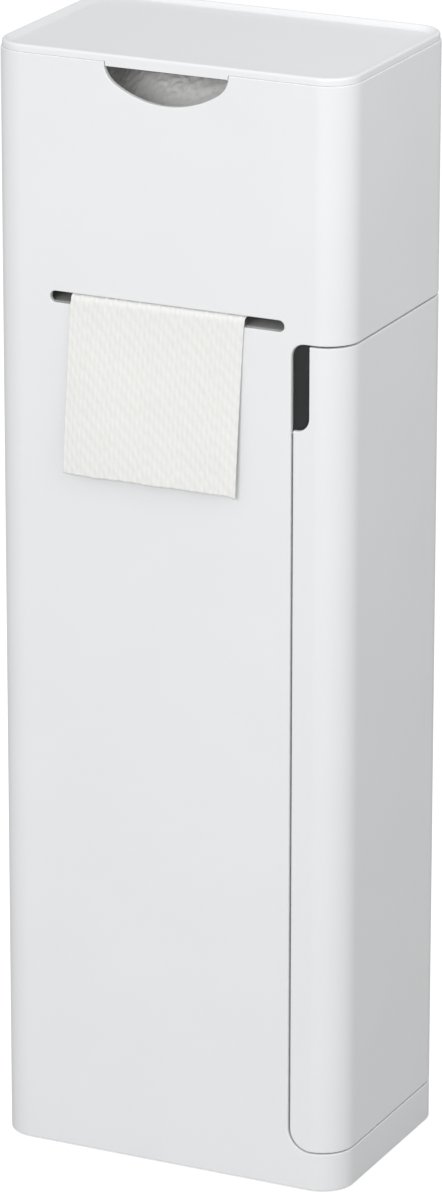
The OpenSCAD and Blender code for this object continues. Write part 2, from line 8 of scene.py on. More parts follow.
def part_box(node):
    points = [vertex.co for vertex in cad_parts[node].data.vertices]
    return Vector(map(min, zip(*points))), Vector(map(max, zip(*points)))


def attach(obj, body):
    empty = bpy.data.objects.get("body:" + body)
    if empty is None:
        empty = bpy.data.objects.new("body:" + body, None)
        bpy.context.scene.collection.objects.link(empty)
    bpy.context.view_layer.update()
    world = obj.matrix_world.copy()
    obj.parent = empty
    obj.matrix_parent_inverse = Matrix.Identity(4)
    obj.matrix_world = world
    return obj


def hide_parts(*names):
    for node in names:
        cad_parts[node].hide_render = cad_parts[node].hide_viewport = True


# Toilet accessory stand in satin white plastic: column, lift-off tray lid, side door,
# a toilet roll with its hanging sheet, and a brush set behind the door.
# Everything is in metres. Left to right is X, the front faces -Y, and up is +Z.

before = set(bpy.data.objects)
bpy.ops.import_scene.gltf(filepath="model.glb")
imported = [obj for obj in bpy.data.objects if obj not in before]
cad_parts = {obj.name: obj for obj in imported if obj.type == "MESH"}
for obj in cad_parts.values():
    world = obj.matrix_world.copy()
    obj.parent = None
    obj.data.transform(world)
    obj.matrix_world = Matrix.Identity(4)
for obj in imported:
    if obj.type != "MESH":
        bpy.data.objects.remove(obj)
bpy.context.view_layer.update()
MM = 0.001

# Sizes taken from the frame
COLUMN_LO, COLUMN_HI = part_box("housing")
DOOR_LO, DOOR_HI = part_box("door_panel")
LID_LO, LID_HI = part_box("lid_tray")
ROLL_LO, ROLL_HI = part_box("paper_roll")
CORE_LO, CORE_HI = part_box("roll_core")
SHEET_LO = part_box("paper_sheet")[0]
TUB_LO, TUB_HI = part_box("brush_tub")
COLLAR_LO, COLLAR_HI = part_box("splash_collar")
GRIP_LO, GRIP_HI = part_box("handle_grip")
CAP_LO, CAP_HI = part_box("grip_cap")
BLOCK_LO, BLOCK_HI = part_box("bristle_block")
BRISTLE_LO, BRISTLE_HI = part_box("bristle_head")
CATCH_LO, CATCH_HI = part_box("catch_housing")
DIVIDER_LO, DIVIDER_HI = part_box("splash_divider")

# The column
HALF_W = COLUMN_HI.x
HALF_D = COLUMN_HI.y
FOOT_Z = COLUMN_LO.z
SEAM_Z = COLUMN_HI.z
CORNER_R = 18 * MM
WALL = 3 * MM
FLOOR_T = 3 * MM
EDGE_R = 0.6 * MM
CORNER_STEPS = 32

# The door bay
SEAM_GAP = 1 * MM
DOOR_X = DOOR_LO.x
BAY_X = DOOR_X - SEAM_GAP
BAY_LOW_Z = DOOR_LO.z - 0.8 * MM
BAY_TOP_Z = DOOR_HI.z + 1 * MM
DOOR_CORNER_R = 12 * MM
BAY_CORNER_R = 7.5 * MM
POCKET_W = 9 * MM
POCKET_H = 45 * MM
POCKET_R = 7.4 * MM
HINGE_X = HALF_W - CORNER_R
HINGE_Y = HALF_D - CORNER_R
COVE_GAP = 0.4 * MM

# The slot and the half-moon finger notch
SLOT_W = 132 * MM
SLOT_H = 6 * MM
NOTCH_W = 69.5 * MM
NOTCH_D = 19.5 * MM
NOTCH_END_R = 13 * MM
NOTCH_END_X = NOTCH_W / 2 - NOTCH_END_R
NOTCH_R = (NOTCH_D ** 2 + (NOTCH_W / 2) ** 2 - NOTCH_W * NOTCH_END_R) / (2 * (NOTCH_D - NOTCH_END_R))
NOTCH_Z = SEAM_Z - NOTCH_D + NOTCH_R
SHELF_T = 2.5 * MM
LEDGE_T = 2.5 * MM
LEDGE_W = 5 * MM
SHELF_TOP = BAY_TOP_Z + LEDGE_T + SHELF_T
SLOT_Z = SHELF_TOP + SLOT_H / 2


# Small helpers for node trees and meshes

# Points closer than this are one point, and a radius below this is a point on the axis
WELD = 1e-6
ON_AXIS = 1e-9


def srgb(code):
    """An sRGB hex colour as the linear values that a shader takes."""
    parts = [int(code[i:i + 2], 16) / 255 for i in (1, 3, 5)]
    return [c / 12.92 if c <= 0.04045 else ((c + 0.055) / 1.055) ** 2.4 for c in parts] + [1.0]


def set_inputs(tree, item, inputs):
    """Gives a node's inputs, by name or number, a value or a socket to link from."""
    for key, value in inputs.items():
        if isinstance(value, bpy.types.NodeSocket):
            tree.links.new(value, item.inputs[key])
        else:
            item.inputs[key].default_value = value


def add(tree, kind, inputs=None, **settings):
    """Adds a node with its settings and its inputs."""
    item = tree.nodes.new(kind)
    for key, value in settings.items():
        setattr(item, key, value)
    set_inputs(tree, item, inputs or {})
    return item


def new_material(name):
    """An empty node material: its tree, its shader, and Object coordinates in millimetres."""
    material = bpy.data.materials.new(name)
    material.use_nodes = True
    tree = material.node_tree
    tree.nodes.clear()
    output = add(tree, "ShaderNodeOutputMaterial")
    shader = add(tree, "ShaderNodeBsdfPrincipled")
    tree.links.new(shader.outputs["BSDF"], output.inputs["Surface"])
    place = add(tree, "ShaderNodeTexCoord")
    in_mm = add(tree, "ShaderNodeMapping", {"Vector": place.outputs["Object"], "Scale": (1000, 1000, 1000)})
    return material, tree, shader, in_mm.outputs["Vector"]


def link_object(name, data):
    """An object for a mesh, a lamp or a camera, linked to the scene."""
    piece = bpy.data.objects.new(name, data)
    bpy.context.scene.collection.objects.link(piece)
    return piece


def mesh_object(name, points, faces):
    mesh = bpy.data.meshes.new(name)
    mesh.from_pydata([tuple(p) for p in points], [], faces)
    mesh.validate()
    mesh.update()
    return link_object(name, mesh)


def applied(piece):
    """Turns a piece's modifiers into plain mesh."""
    graph = bpy.context.evaluated_depsgraph_get()
    done = bpy.data.meshes.new_from_object(piece.evaluated_get(graph))
    old = piece.data
    piece.modifiers.clear()
    piece.data = done
    bpy.data.meshes.remove(old)
    return piece


def combine(piece, tools, operation):
    """Adds, cuts away or keeps the overlap with each tool, and deletes the tools."""
    for tool in tools:
        cutter = piece.modifiers.new("combine", "BOOLEAN")
        cutter.operation = operation
        cutter.solver = "EXACT"
        cutter.object = tool
        applied(piece)
        bpy.data.objects.remove(tool)
    return piece


def arc(centre, radius, start, end, steps):
    """Points on a circle from angle start to angle end, in degrees."""
    found = []
    for i in range(steps + 1):
        a = math.radians(start + (end - start) * i / steps)
        found.append((centre[0] + radius * math.cos(a), centre[1] + radius * math.sin(a)))
    return found


def rounded(half_w, half_d, radius):
    """A rounded rectangle about the origin, counter-clockwise from its right side."""
    found = []
    for k, (sx, sy) in enumerate([(1, 1), (-1, 1), (-1, -1), (1, -1)]):
        centre = (sx * (half_w - radius), sy * (half_d - radius))
        found += arc(centre, radius, 90 * k, 90 * k + 90, CORNER_STEPS)
    return found


def prism(name, outline, low, high, axis="z"):
    """A closed solid over a flat outline: (x, y) run along Z, or (x, z) along Y."""
    def place(p, t):
        return (p[0], p[1], t) if axis == "z" else (p[0], t, p[1])

    n = len(outline)
    points = [place(p, low) for p in outline] + [place(p, high) for p in outline]
    faces = [list(range(n))[::-1], list(range(n, 2 * n))]
    faces += [[i, (i + 1) % n, n + (i + 1) % n, n + i] for i in range(n)]
    return outward(mesh_object(name, points, faces))


def outward(piece):
    """Merges doubled points and turns every face outwards."""
    shape = bmesh.new()
    shape.from_mesh(piece.data)
    bmesh.ops.remove_doubles(shape, verts=shape.verts, dist=WELD)
    bmesh.ops.recalc_face_normals(shape, faces=shape.faces)
    shape.to_mesh(piece.data)
    shape.free()
    return piece


def merged(piece, angle=0.6):
    """Merges faces that lie in one plane, so that no loose edges cross a flat."""
    shape = bmesh.new()
    shape.from_mesh(piece.data)
    bmesh.ops.remove_doubles(shape, verts=shape.verts, dist=WELD)
    bmesh.ops.dissolve_limit(shape, angle_limit=math.radians(angle), verts=shape.verts, edges=shape.edges)
    shape.to_mesh(piece.data)
    shape.free()
    return piece


def bar(name, centre, radius, low, high, steps=96):
    """A round bar along Z."""
    return prism(name, arc(centre, radius, 0, 360 - 360 / steps, steps - 1), low, high)


def box(name, x, y, z):
    """A block between two places in X, in Y and in Z."""
    return prism(name, [(x[0], y[0]), (x[1], y[0]), (x[1], y[1]), (x[0], y[1])], *z)


def lathe(name, profile, centre, axis="z", steps=96):
    """A profile of (radius, height), closed on the axis or as a ring, turned round a centre."""
    points, rows = [], []
    for radius, height in profile:
        row = []
        for i in range(steps if radius > ON_AXIS else 1):
            a = 2 * math.pi * i / steps
            across, up = radius * math.cos(a), radius * math.sin(a)
            offset = (across, up, height) if axis == "z" else (height, across, up)
            row.append(len(points))
            points.append([centre[k] + offset[k] for k in range(3)])
        rows.append(row)
    faces = []
    for k in range(len(rows)):
        a, b = rows[k], rows[(k + 1) % len(rows)]
        if len(a) == 1 and len(b) == 1:
            continue
        for i in range(steps):
            j = (i + 1) % steps
            if len(a) == 1:
                faces.append([a[0], b[i], b[j]])
            elif len(b) == 1:
                faces.append([a[i], a[j], b[0]])
            else:
                faces.append([a[i], a[j], b[j], b[i]])
    return outward(mesh_object(name, points, faces))


def soften(piece, width=EDGE_R, segments=3, limit=32, share=None):
    """Rounds outer edges sharper than a limit; share(middle) is the part of the width an edge gets."""
    shape = bmesh.new()
    shape.from_mesh(piece.data)
    layers = shape.edges.layers.float
    weight = layers.get("bevel_weight_edge") or layers.new("bevel_weight_edge")
    for edge in shape.edges:
        middle = (edge.verts[0].co + edge.verts[1].co) / 2
        outer = len(edge.link_faces) == 2 and edge.is_convex
        sharp = outer and edge.calc_face_angle() > math.radians(limit)
        edge[weight] = (share(middle) if share else 1.0) if sharp else 0.0
    shape.to_mesh(piece.data)
    shape.free()
    edges = piece.modifiers.new("soft_edges", "BEVEL")
    edges.width = width
    edges.segments = segments
    edges.limit_method = "WEIGHT"
    edges.use_clamp_overlap = False
    return applied(piece)


def smooth(piece, angle=40):
    """Shades the curves smooth, and keeps the flats flat and the sharp edges sharp."""
    piece.data.shade_smooth()
    piece.data.set_sharp_from_angle(angle=math.radians(angle))
    flat = piece.modifiers.new("flat_faces", "WEIGHTED_NORMAL")
    flat.keep_sharp = True
    return applied(piece)


def lofted(name, rows):
    """A solid through outlines of equal length, each with its height, closed at the first and last."""
    n = len(rows[0][0])
    points = [(x, y, z) for outline, z in rows for x, y in outline]
    faces = [list(range(n))[::-1], list(range(n * (len(rows) - 1), n * len(rows)))]
    for low in range(0, n * (len(rows) - 1), n):
        high = low + n
        faces += [[low + i, low + (i + 1) % n, high + (i + 1) % n, high + i] for i in range(n)]
    return outward(mesh_object(name, points, faces))


def moulded_copy(name, node, width):
    """A merged copy of a CAD node with softened edges."""
    piece = link_object(name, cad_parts[node].data.copy())
    piece.data.materials.clear()
    return smooth(soften(merged(piece), width, segments=2))


def dress(piece, material, body, node):
    """Gives a piece its material and the body it rides on, and hides the CAD node it stands for."""
    piece.data.materials.clear()
    piece.data.materials.append(material)
    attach(piece, body)
    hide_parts(node)


# Materials: a Scale is one over a size in millimetres

# How far apart the faint clouds in a moulding are, and how much its roughness wanders with them
CLOUD_MM = 55
SHINE_DRIFT = 0.03


def moulded_plastic(name, colour, roughness, grain_mm, grain_depth, drift=0.012):
    """Injection-moulded plastic: even colour, a fine satin grain, and broad faint flow in the surface."""
    material, tree, shader, place = new_material(name)
    cloud = add(tree, "ShaderNodeTexNoise", {"Vector": place, "Scale": 1 / CLOUD_MM, "Detail": 3.0})
    spread = {"Value": cloud.outputs["Fac"], "From Min": 0.3, "From Max": 0.7}
    tint = add(tree, "ShaderNodeMapRange", {**spread, "To Min": 1 - drift, "To Max": 1.0})
    blend = add(tree, "ShaderNodeVectorMath", {0: srgb(colour)[:3], "Scale": tint.outputs["Result"]},
                operation="SCALE")
    shine = add(tree, "ShaderNodeMapRange",
                {**spread, "To Min": roughness - SHINE_DRIFT, "To Max": roughness + SHINE_DRIFT})
    grain = add(tree, "ShaderNodeTexNoise", {"Vector": place, "Scale": 1 / grain_mm, "Detail": 2.0})
    relief = add(tree, "ShaderNodeBump",
                 {"Height": grain.outputs["Fac"], "Strength": 1.0, "Distance": grain_depth * MM})
    set_inputs(tree, shader, {"Base Color": blend.outputs["Vector"], "Roughness": shine.outputs["Result"],
                              "IOR": 1.53, "Normal": relief.outputs["Normal"]})
    return material


def plated_steel():
    """Nickel-plated steel: a warm grey metal with a fine drawn grain."""
    material, tree, shader, place = new_material("nickel_plated_steel")
    # Drawn lines six to the millimetre and 2.5 mm long, coarser than the real ones so that they show
    stretched = add(tree, "ShaderNodeMapping", {"Vector": place, "Scale": (6, 6, 1 / 2.5)})
    grain = add(tree, "ShaderNodeTexNoise",
                {"Vector": stretched.outputs["Vector"], "Scale": 1.0, "Detail": 3.0})
    shine = add(tree, "ShaderNodeMapRange", {"Value": grain.outputs["Fac"], "To Min": 0.22, "To Max": 0.38})
    relief = add(tree, "ShaderNodeBump",
                 {"Height": grain.outputs["Fac"], "Strength": 0.3, "Distance": 0.01 * MM})
    set_inputs(tree, shader, {"Base Color": srgb("#C6C7C8"), "Metallic": 1.0,
                              "Roughness": shine.outputs["Result"], "Normal": relief.outputs["Normal"]})
    return material


def foot_rubber():
    """Moulded rubber: near black, dull, with a dusty mottling."""
    material, tree, shader, place = new_material("moulded_rubber")
    # Dust spots 1.25 mm apart
    dust = add(tree, "ShaderNodeTexNoise", {"Vector": place, "Scale": 1 / 1.25, "Detail": 5.0})
    tint = add(tree, "ShaderNodeMix", {0: dust.outputs["Fac"], 6: srgb("#2C2C2E"), 7: srgb("#3A3A3B")},
               data_type="RGBA")
    relief = add(tree, "ShaderNodeBump",
                 {"Height": dust.outputs["Fac"], "Strength": 0.5, "Distance": 0.05 * MM})
    set_inputs(tree, shader, {"Base Color": tint.outputs[2], "Roughness": 0.82,
                              "Normal": relief.outputs["Normal"]})
    return material


def tissue():
    """Two-ply tissue: matt warm white, a fibrous cloudy surface and fine crepe across the strip."""
    material, tree, shader, place = new_material("two_ply_tissue")
    # Clumps of fibre 6 mm apart, with finer and finer ones between them
    cloud = add(tree, "ShaderNodeTexNoise",
                {"Vector": place, "Scale": 1 / 6, "Detail": 6.0, "Roughness": 0.65})
    tint = add(tree, "ShaderNodeMix", {0: cloud.outputs["Fac"], 6: srgb("#E9E9E6"), 7: srgb("#F0F0EE")},
               data_type="RGBA")
    # Crepe ridges 2 mm long and 0.45 mm apart, coarser than the real ones so that they show
    stretched = add(tree, "ShaderNodeMapping", {"Vector": place, "Scale": (1 / 2, 2.2, 2.2)})
    crepe = add(tree, "ShaderNodeTexNoise",
                {"Vector": stretched.outputs["Vector"], "Scale": 1.0, "Detail": 5.0})
    relief = add(tree, "ShaderNodeBump",
                 {"Height": crepe.outputs["Fac"], "Strength": 0.7, "Distance": 0.12 * MM})
    set_inputs(tree, shader, {"Base Color": tint.outputs[2], "Roughness": 0.95, "Specular IOR Level": 0.15,
                              "Sheen Weight": 0.08, "Normal": relief.outputs["Normal"]})
    return material


def tissue_edges():
    """The roll's wound sides: the cut plies show as fine rings round the core."""
    material, tree, shader, place = new_material("wound_tissue_edges")
    centre = (0, 0, (ROLL_LO.z + ROLL_HI.z) / 2 / MM)
    from_axis = add(tree, "ShaderNodeVectorMath", {0: place, 1: centre}, operation="SUBTRACT")
    flat = add(tree, "ShaderNodeVectorMath", {0: from_axis.outputs[0], 1: (0, 1, 1)}, operation="MULTIPLY")
    radius = add(tree, "ShaderNodeVectorMath", {0: flat.outputs[0]}, operation="LENGTH")
    # Rings 0.6 mm apart, each for a few of the real plies, which are too thin to show
    plies = add(tree, "ShaderNodeTexNoise", {"W": radius.outputs["Value"], "Scale": 1.6, "Detail": 4.0},
                noise_dimensions="1D")
    tint = add(tree, "ShaderNodeMix", {0: plies.outputs["Fac"], 6: srgb("#DDDCD8"), 7: srgb("#F6F6F4")},
               data_type="RGBA")
    relief = add(tree, "ShaderNodeBump",
                 {"Height": plies.outputs["Fac"], "Strength": 0.8, "Distance": 0.2 * MM})
    set_inputs(tree, shader, {"Base Color": tint.outputs[2], "Roughness": 0.97, "Specular IOR Level": 0.1,
                              "Normal": relief.outputs["Normal"]})
    return material


def wound_card():
    """Grey-brown core card: dull, flecked with recycled fibre, with faint bands where its turns meet."""
    material, tree, shader, place = new_material("spiral_wound_card")
    # Flecks 0.8 mm apart, under broad bands along the tube
    fleck = add(tree, "ShaderNodeTexNoise",
                {"Vector": place, "Scale": 1.2, "Detail": 6.0, "Roughness": 0.7})
    bands = add(tree, "ShaderNodeTexWave", {"Vector": place, "Scale": 1 / 40, "Distortion": 0.0},
                wave_type="BANDS", bands_direction="X")
    joined = add(tree, "ShaderNodeMath", {0: fleck.outputs["Fac"], 1: bands.outputs["Fac"]},
                 operation="MULTIPLY")
    tint = add(tree, "ShaderNodeMix", {0: joined.outputs["Value"], 6: srgb("#A48C68"), 7: srgb("#C2AC88")},
               data_type="RGBA")
    relief = add(tree, "ShaderNodeBump",
                 {"Height": fleck.outputs["Fac"], "Strength": 0.5, "Distance": 0.08 * MM})
    set_inputs(tree, shader, {"Base Color": tint.outputs[2], "Roughness": 0.88,
                              "Normal": relief.outputs["Normal"]})
    return material


# A moulding's grain is about 0.1 mm wide, too fine to show, so it is drawn 0.5 to 0.9 mm wide
WHITE_ABS = moulded_plastic("satin_moulded_abs", "#EDEEEF", 0.36, 0.7, 0.012)
INNER_PP = moulded_plastic("moulded_polypropylene", "#DEDEDC", 0.48, 0.9, 0.02)
CHARCOAL_PP = moulded_plastic("charcoal_polypropylene", "#2C2E31", 0.5, 0.8, 0.02, 0.06)
NYLON = moulded_plastic("nylon_filament", "#E6E7E5", 0.45, 0.5, 0.01, 0.05)
STEEL = plated_steel()
RUBBER = foot_rubber()
TISSUE = tissue()
TISSUE_EDGES = tissue_edges()
CARD = wound_card()

for node_name, finish in {
        "rubber_feet": RUBBER, "shelf_screws": STEEL, "catch_screws": STEEL, "catch_magnet": STEEL,
        "strike_rivets": STEEL, "upper_hinge_pin": STEEL, "lower_hinge_pin": STEEL,
        "brush_shaft": WHITE_ABS}.items():
    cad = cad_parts[node_name]
    cad.data.materials.clear()
    cad.data.materials.append(finish)

# Camera: the photograph's view, found from the column's straight edges

VIEW_AZIMUTH = math.radians(25.600)
VIEW_ELEVATION = math.radians(18.645)
VIEW_ROLL = math.radians(0.044)
VIEW_DISTANCE = 3.300
VIEW_TARGET = Vector((-0.0001, 0.0, 0.2959))
FOCAL_PIXELS = 6295
IMAGE_HEIGHT = 1200
SENSOR = 36


def photo_camera():
    data = bpy.data.cameras.new("camera")
    data.sensor_fit = "VERTICAL"
    data.sensor_width = SENSOR
    data.sensor_height = SENSOR
    data.lens = FOCAL_PIXELS / IMAGE_HEIGHT * SENSOR
    data.clip_start = 0.1
    data.clip_end = 50
    back = Vector((math.sin(VIEW_AZIMUTH) * math.cos(VIEW_ELEVATION),
                   -math.cos(VIEW_AZIMUTH) * math.cos(VIEW_ELEVATION), math.sin(VIEW_ELEVATION)))
    right = Vector((math.cos(VIEW_AZIMUTH), math.sin(VIEW_AZIMUTH), 0))
    up = back.cross(right)
    turned = right * math.cos(VIEW_ROLL) + up * math.sin(VIEW_ROLL)
    raised = up * math.cos(VIEW_ROLL) - right * math.sin(VIEW_ROLL)
    camera = link_object("camera", data)
    axes = Matrix((turned, raised, back)).transposed()
    camera.matrix_world = Matrix.Translation(VIEW_TARGET + back * VIEW_DISTANCE) @ axes.to_4x4()
    bpy.context.scene.camera = camera


photo_camera()

# Light: a dim even sky over a pale floor, a broad key straight in front and four weak fills

SKY_LEVEL = 0.68
FLOOR_GLOW = 0.75
FLOOR_SIZE = 12
# Each lamp's place, the point it faces, its size and its power in watts. The small one at the camera
# lights the wall behind the finger pocket.
LAMPS = {
    "key": ((0.1, -3.1, 1.2), (0, 0, 0.3), 1.3, 36.5),
    "side_fill": ((2.2, -0.5, 0.9), (0, 0, 0.3), 1.5, 1.8),
    "right_high": ((0.62, -0.2, 0.95), (0.1, 0, 0.45), 0.4, 1.0),
    "overhead": ((0, -0.1, 2.5), (0, 0, 0.6), 1.5, 1.6),
    "at_camera": ((1.35, -2.82, 1.35), (0, 0, 0.3), 0.06, 4.6)}


def camera_switch(tree, others, seen):
    """One shader for the rays that light the object, and another for what the camera sees."""
    path = add(tree, "ShaderNodeLightPath")
    chosen = add(tree, "ShaderNodeMixShader", {0: path.outputs["Is Camera Ray"], 1: others, 2: seen})
    return chosen.outputs[0]


def studio_sky():
    """A dim sky that lights the object, and plain white behind it."""
    world = bpy.data.worlds.new("studio")
    world.use_nodes = True
    tree = world.node_tree
    tree.nodes.clear()
    dim = add(tree, "ShaderNodeBackground", {"Color": srgb("#FFFFFF"), "Strength": SKY_LEVEL})
    white = add(tree, "ShaderNodeBackground", {"Color": srgb("#FFFFFF"), "Strength": 1.0})
    output = add(tree, "ShaderNodeOutputWorld")
    tree.links.new(camera_switch(tree, dim.outputs[0], white.outputs[0]), output.inputs["Surface"])
    bpy.context.scene.world = world


def pale_floor():
    """A pale floor that the camera sees as white, with the object's shadow kept on it."""
    half = FLOOR_SIZE / 2
    corners = [(-half, -half, 0), (half, -half, 0), (half, half, 0), (-half, half, 0)]
    floor = mesh_object("floor", corners, [[0, 1, 2, 3]])
    material = bpy.data.materials.new("pale_floor")
    material.use_nodes = True
    tree = material.node_tree
    tree.nodes.clear()
    matt = add(tree, "ShaderNodeBsdfDiffuse", {"Color": srgb("#B4B4B4")})
    glow = add(tree, "ShaderNodeEmission", {"Color": srgb("#FFFFFF"), "Strength": FLOOR_GLOW})
    lit = add(tree, "ShaderNodeAddShader", {0: matt.outputs[0], 1: glow.outputs[0]})
    output = add(tree, "ShaderNodeOutputMaterial")
    tree.links.new(camera_switch(tree, matt.outputs[0], lit.outputs[0]), output.inputs["Surface"])
    floor.data.materials.append(material)


def softbox(name, place, aim, size, watts):
    """A square lamp at a place, turned to face a point."""
    data = bpy.data.lights.new(name, "AREA")
    data.size = size
    data.energy = watts
    lamp = link_object(name, data)
    toward = Vector(aim) - Vector(place)
    lamp.matrix_world = Matrix.Translation(place) @ toward.to_track_quat("-Z", "Y").to_matrix().to_4x4()


studio_sky()
pale_floor()
for lamp_name, lamp_settings in LAMPS.items():
    softbox(lamp_name, *lamp_settings)
bpy.context.scene.view_settings.view_transform = "Standard"

# The column: one moulding with its floor, ribs, guides and the ledge that carries the roll shelf

# How far a cutter reaches past what it cuts, and how far a joined part reaches into its wall
OVER = 2 * MM
ROOT = 0.25 * MM
INNER_W = HALF_W - WALL
INNER_D = HALF_D - WALL
INNER_R = CORNER_R - WALL
# The rear wall's free edge at the hinge cove, where it is this thick
COVE_LIP = 0.8 * MM
COVE_TIP_X = HINGE_X - math.sqrt((CORNER_R + COVE_GAP) ** 2 - (CORNER_R - COVE_LIP) ** 2)
FLOOR_LOW = BAY_LOW_Z - FLOOR_T
RIB_LOW = 6 * MM
RIB_T = 2 * MM
POST_R = 10 * MM
POSTS = [(x, y) for x in (-HINGE_X, HINGE_X) for y in (-HINGE_Y, HINGE_Y)]
PAD_R = 8.05 * MM
PAD_T = 1.5 * MM
PIN_BORE = 2.55 * MM
PIN_LOW = 8 * MM
BOSS_R = 5 * MM
BOSS_LOW = BAY_TOP_Z - 8 * MM
SCREW_BORE = 1.45 * MM
SCREW_LOW = BOSS_LOW + 1 * MM
BOSS_Y = INNER_D - 4.6 * MM
BOSSES = [(x, y) for x in (-HINGE_X, DOOR_X - 41 * MM) for y in (BOSS_Y, -BOSS_Y)]
CATCH_PAD = 2 * MM
TUB_X = (TUB_LO.x + TUB_HI.x) / 2
TUB_Y = (TUB_LO.y + TUB_HI.y) / 2
GUIDE_IN = 31.4 * MM
GUIDE_OUT = 33.4 * MM
GUIDE_H = 4 * MM
RAIL_GAP = 0.3 * MM
RAIL_T = 1.6 * MM
RAIL_H = 5 * MM


def bay_outline(left, low, top, low_r, top_r):
    """The door bay seen from the front, with its two rounded left corners."""
    right = HALF_W + OVER
    corners = arc((left + top_r, top - top_r), top_r, 90, 180, steps=12)
    corners += arc((left + low_r, low + low_r), low_r, 180, 270, steps=16)
    return [(right, top)] + corners + [(right, low)]


def slot_outline(half_w, half_h):
    ends = half_w - half_h
    right = arc((ends, SLOT_Z), half_h, -90, 90, steps=12)
    return right + arc((-ends, SLOT_Z), half_h, 90, 270, steps=12)


def notch_outline(gap):
    """The half-moon seen from the front: a wide arc between two tighter ends, smaller all round by gap."""
    top = SEAM_Z + OVER
    turn = math.degrees(math.atan2(SEAM_Z - NOTCH_Z, NOTCH_END_X))
    end_r = NOTCH_END_R - gap
    points = [(NOTCH_W / 2 - gap, top)] + arc((NOTCH_END_X, SEAM_Z), end_r, 0, turn, steps=20)
    points += arc((0, NOTCH_Z), NOTCH_R - gap, turn, -180 - turn, steps=48)[1:-1]
    points += arc((-NOTCH_END_X, SEAM_Z), end_r, -180 - turn, -180, steps=20)
    return points + [(gap - NOTCH_W / 2, top)]


def column_walls():
    """The four walls with the openings for the door, the slot and the finger notch."""
    walls = prism("column", rounded(HALF_W, HALF_D, CORNER_R), FOOT_Z, SEAM_Z)
    bay = (BAY_LOW_Z, BAY_TOP_Z)
    low_r = DOOR_CORNER_R + SEAM_GAP / 2
    front = prism("front_cut", bay_outline(BAY_X, BAY_LOW_Z, BAY_TOP_Z, low_r, BAY_CORNER_R),
                  -HALF_D - OVER, -HINGE_Y - WALL, "y")
    side = box("side_cut", (HINGE_X, HALF_W + OVER), (-HALF_D - OVER, HALF_D + OVER), bay)
    rear = box("rear_cut", (COVE_TIP_X, HALF_W + OVER), (HINGE_Y, HALF_D + OVER), bay)
    slot = prism("slot_cut", slot_outline(SLOT_W / 2, SLOT_H / 2), -HALF_D - OVER, -INNER_D + OVER, "y")
    notch = prism("notch_cut", notch_outline(0), -HALF_D - OVER, -INNER_D + OVER, "y")
    hollow = prism("hollow_cut", rounded(INNER_W, INNER_D, INNER_R), FOOT_Z - OVER, SEAM_Z + OVER)
    return combine(walls, [hollow, front, side, rear, slot, notch], "DIFFERENCE")


def shelf_ledge():
    """The ledge round the inner wall, its screw bosses and the pad over the magnet catch."""
    low, top = BAY_TOP_Z, BAY_TOP_Z + LEDGE_T
    ledge = prism("ledge", rounded(INNER_W + ROOT, INNER_D + ROOT, INNER_R + ROOT), low, top)
    inner = prism("ledge_cut", rounded(INNER_W - LEDGE_W, INNER_D - LEDGE_W, INNER_R - LEDGE_W),
                  low - OVER, top + OVER)
    combine(ledge, [inner], "DIFFERENCE")
    pad_x = CATCH_LO.x - CATCH_PAD
    pad_y = CATCH_HI.y + CATCH_PAD
    parts = [box("pad", (pad_x, HINGE_X), (-INNER_D, pad_y), (low, top)),
             box("pad", (pad_x, INNER_W + ROOT), (-HINGE_Y, pad_y), (low, top))]
    parts += [bar("boss", p, BOSS_R, BOSS_LOW, top, steps=40) for p in BOSSES]
    return combine(ledge, parts, "UNION")


def floor_ribs():
    """The posts and ribs under the floor plate, and the tub's and the divider's guides on it."""
    top = BAY_LOW_Z - ROOT
    wide = (-INNER_W - ROOT, INNER_W + ROOT)
    deep = (-INNER_D - ROOT, INNER_D + ROOT)
    parts = [bar("post", p, POST_R, FOOT_Z, top, steps=48) for p in POSTS]
    parts += [box("rib", wide, (y - RIB_T / 2, y + RIB_T / 2), (RIB_LOW, top))
              for y in (-HINGE_Y, HINGE_Y)]
    parts += [box("rib", (x - RIB_T / 2, x + RIB_T / 2), deep, (RIB_LOW, top - ROOT))
              for x in (-HINGE_X, 0, HINGE_X)]
    guide = bar("guide", (TUB_X, TUB_Y), GUIDE_OUT, top, BAY_LOW_Z + GUIDE_H)
    hole = bar("guide_cut", (TUB_X, TUB_Y), GUIDE_IN, top - OVER, BAY_LOW_Z + GUIDE_H + OVER)
    parts.append(combine(guide, [hole], "DIFFERENCE"))
    for x in (DIVIDER_LO.x - RAIL_GAP - RAIL_T, DIVIDER_HI.x + RAIL_GAP):
        parts.append(box("rail", (x, x + RAIL_T), deep, (top, BAY_LOW_Z + RAIL_H)))
    return parts


def column_bores():
    """The recesses for the feet, the lower hinge pin's bore, the screw holes and the hinge cove."""
    cuts = [bar("pad_cut", p, PAD_R, FOOT_Z - OVER, PAD_T, steps=48) for p in POSTS]
    cuts.append(bar("pin_cut", (HINGE_X, HINGE_Y), PIN_BORE, PIN_LOW, BAY_LOW_Z + OVER, steps=32))
    cuts += [bar("screw_cut", p, SCREW_BORE, SCREW_LOW, BAY_TOP_Z + LEDGE_T + OVER, steps=24)
             for p in BOSSES]
    cove_r = CORNER_R + COVE_GAP
    cuts.append(bar("cove_cut", (HINGE_X, HINGE_Y), cove_r, BAY_LOW_Z, BAY_TOP_Z, steps=160))
    return cuts


# An inner edge's share of the rounding, and what an edge at the door's front seam gets on top of its own
INNER_SHARE = 0.45
SEAM_SHARE = 0.8
SEAM_REACH = 5 * MM
# How deep the outer skin is taken to be, and how near the cove's tip its lip is
SKIN_DEPTH = 0.1 * MM
LIP_REACH = 1 * MM


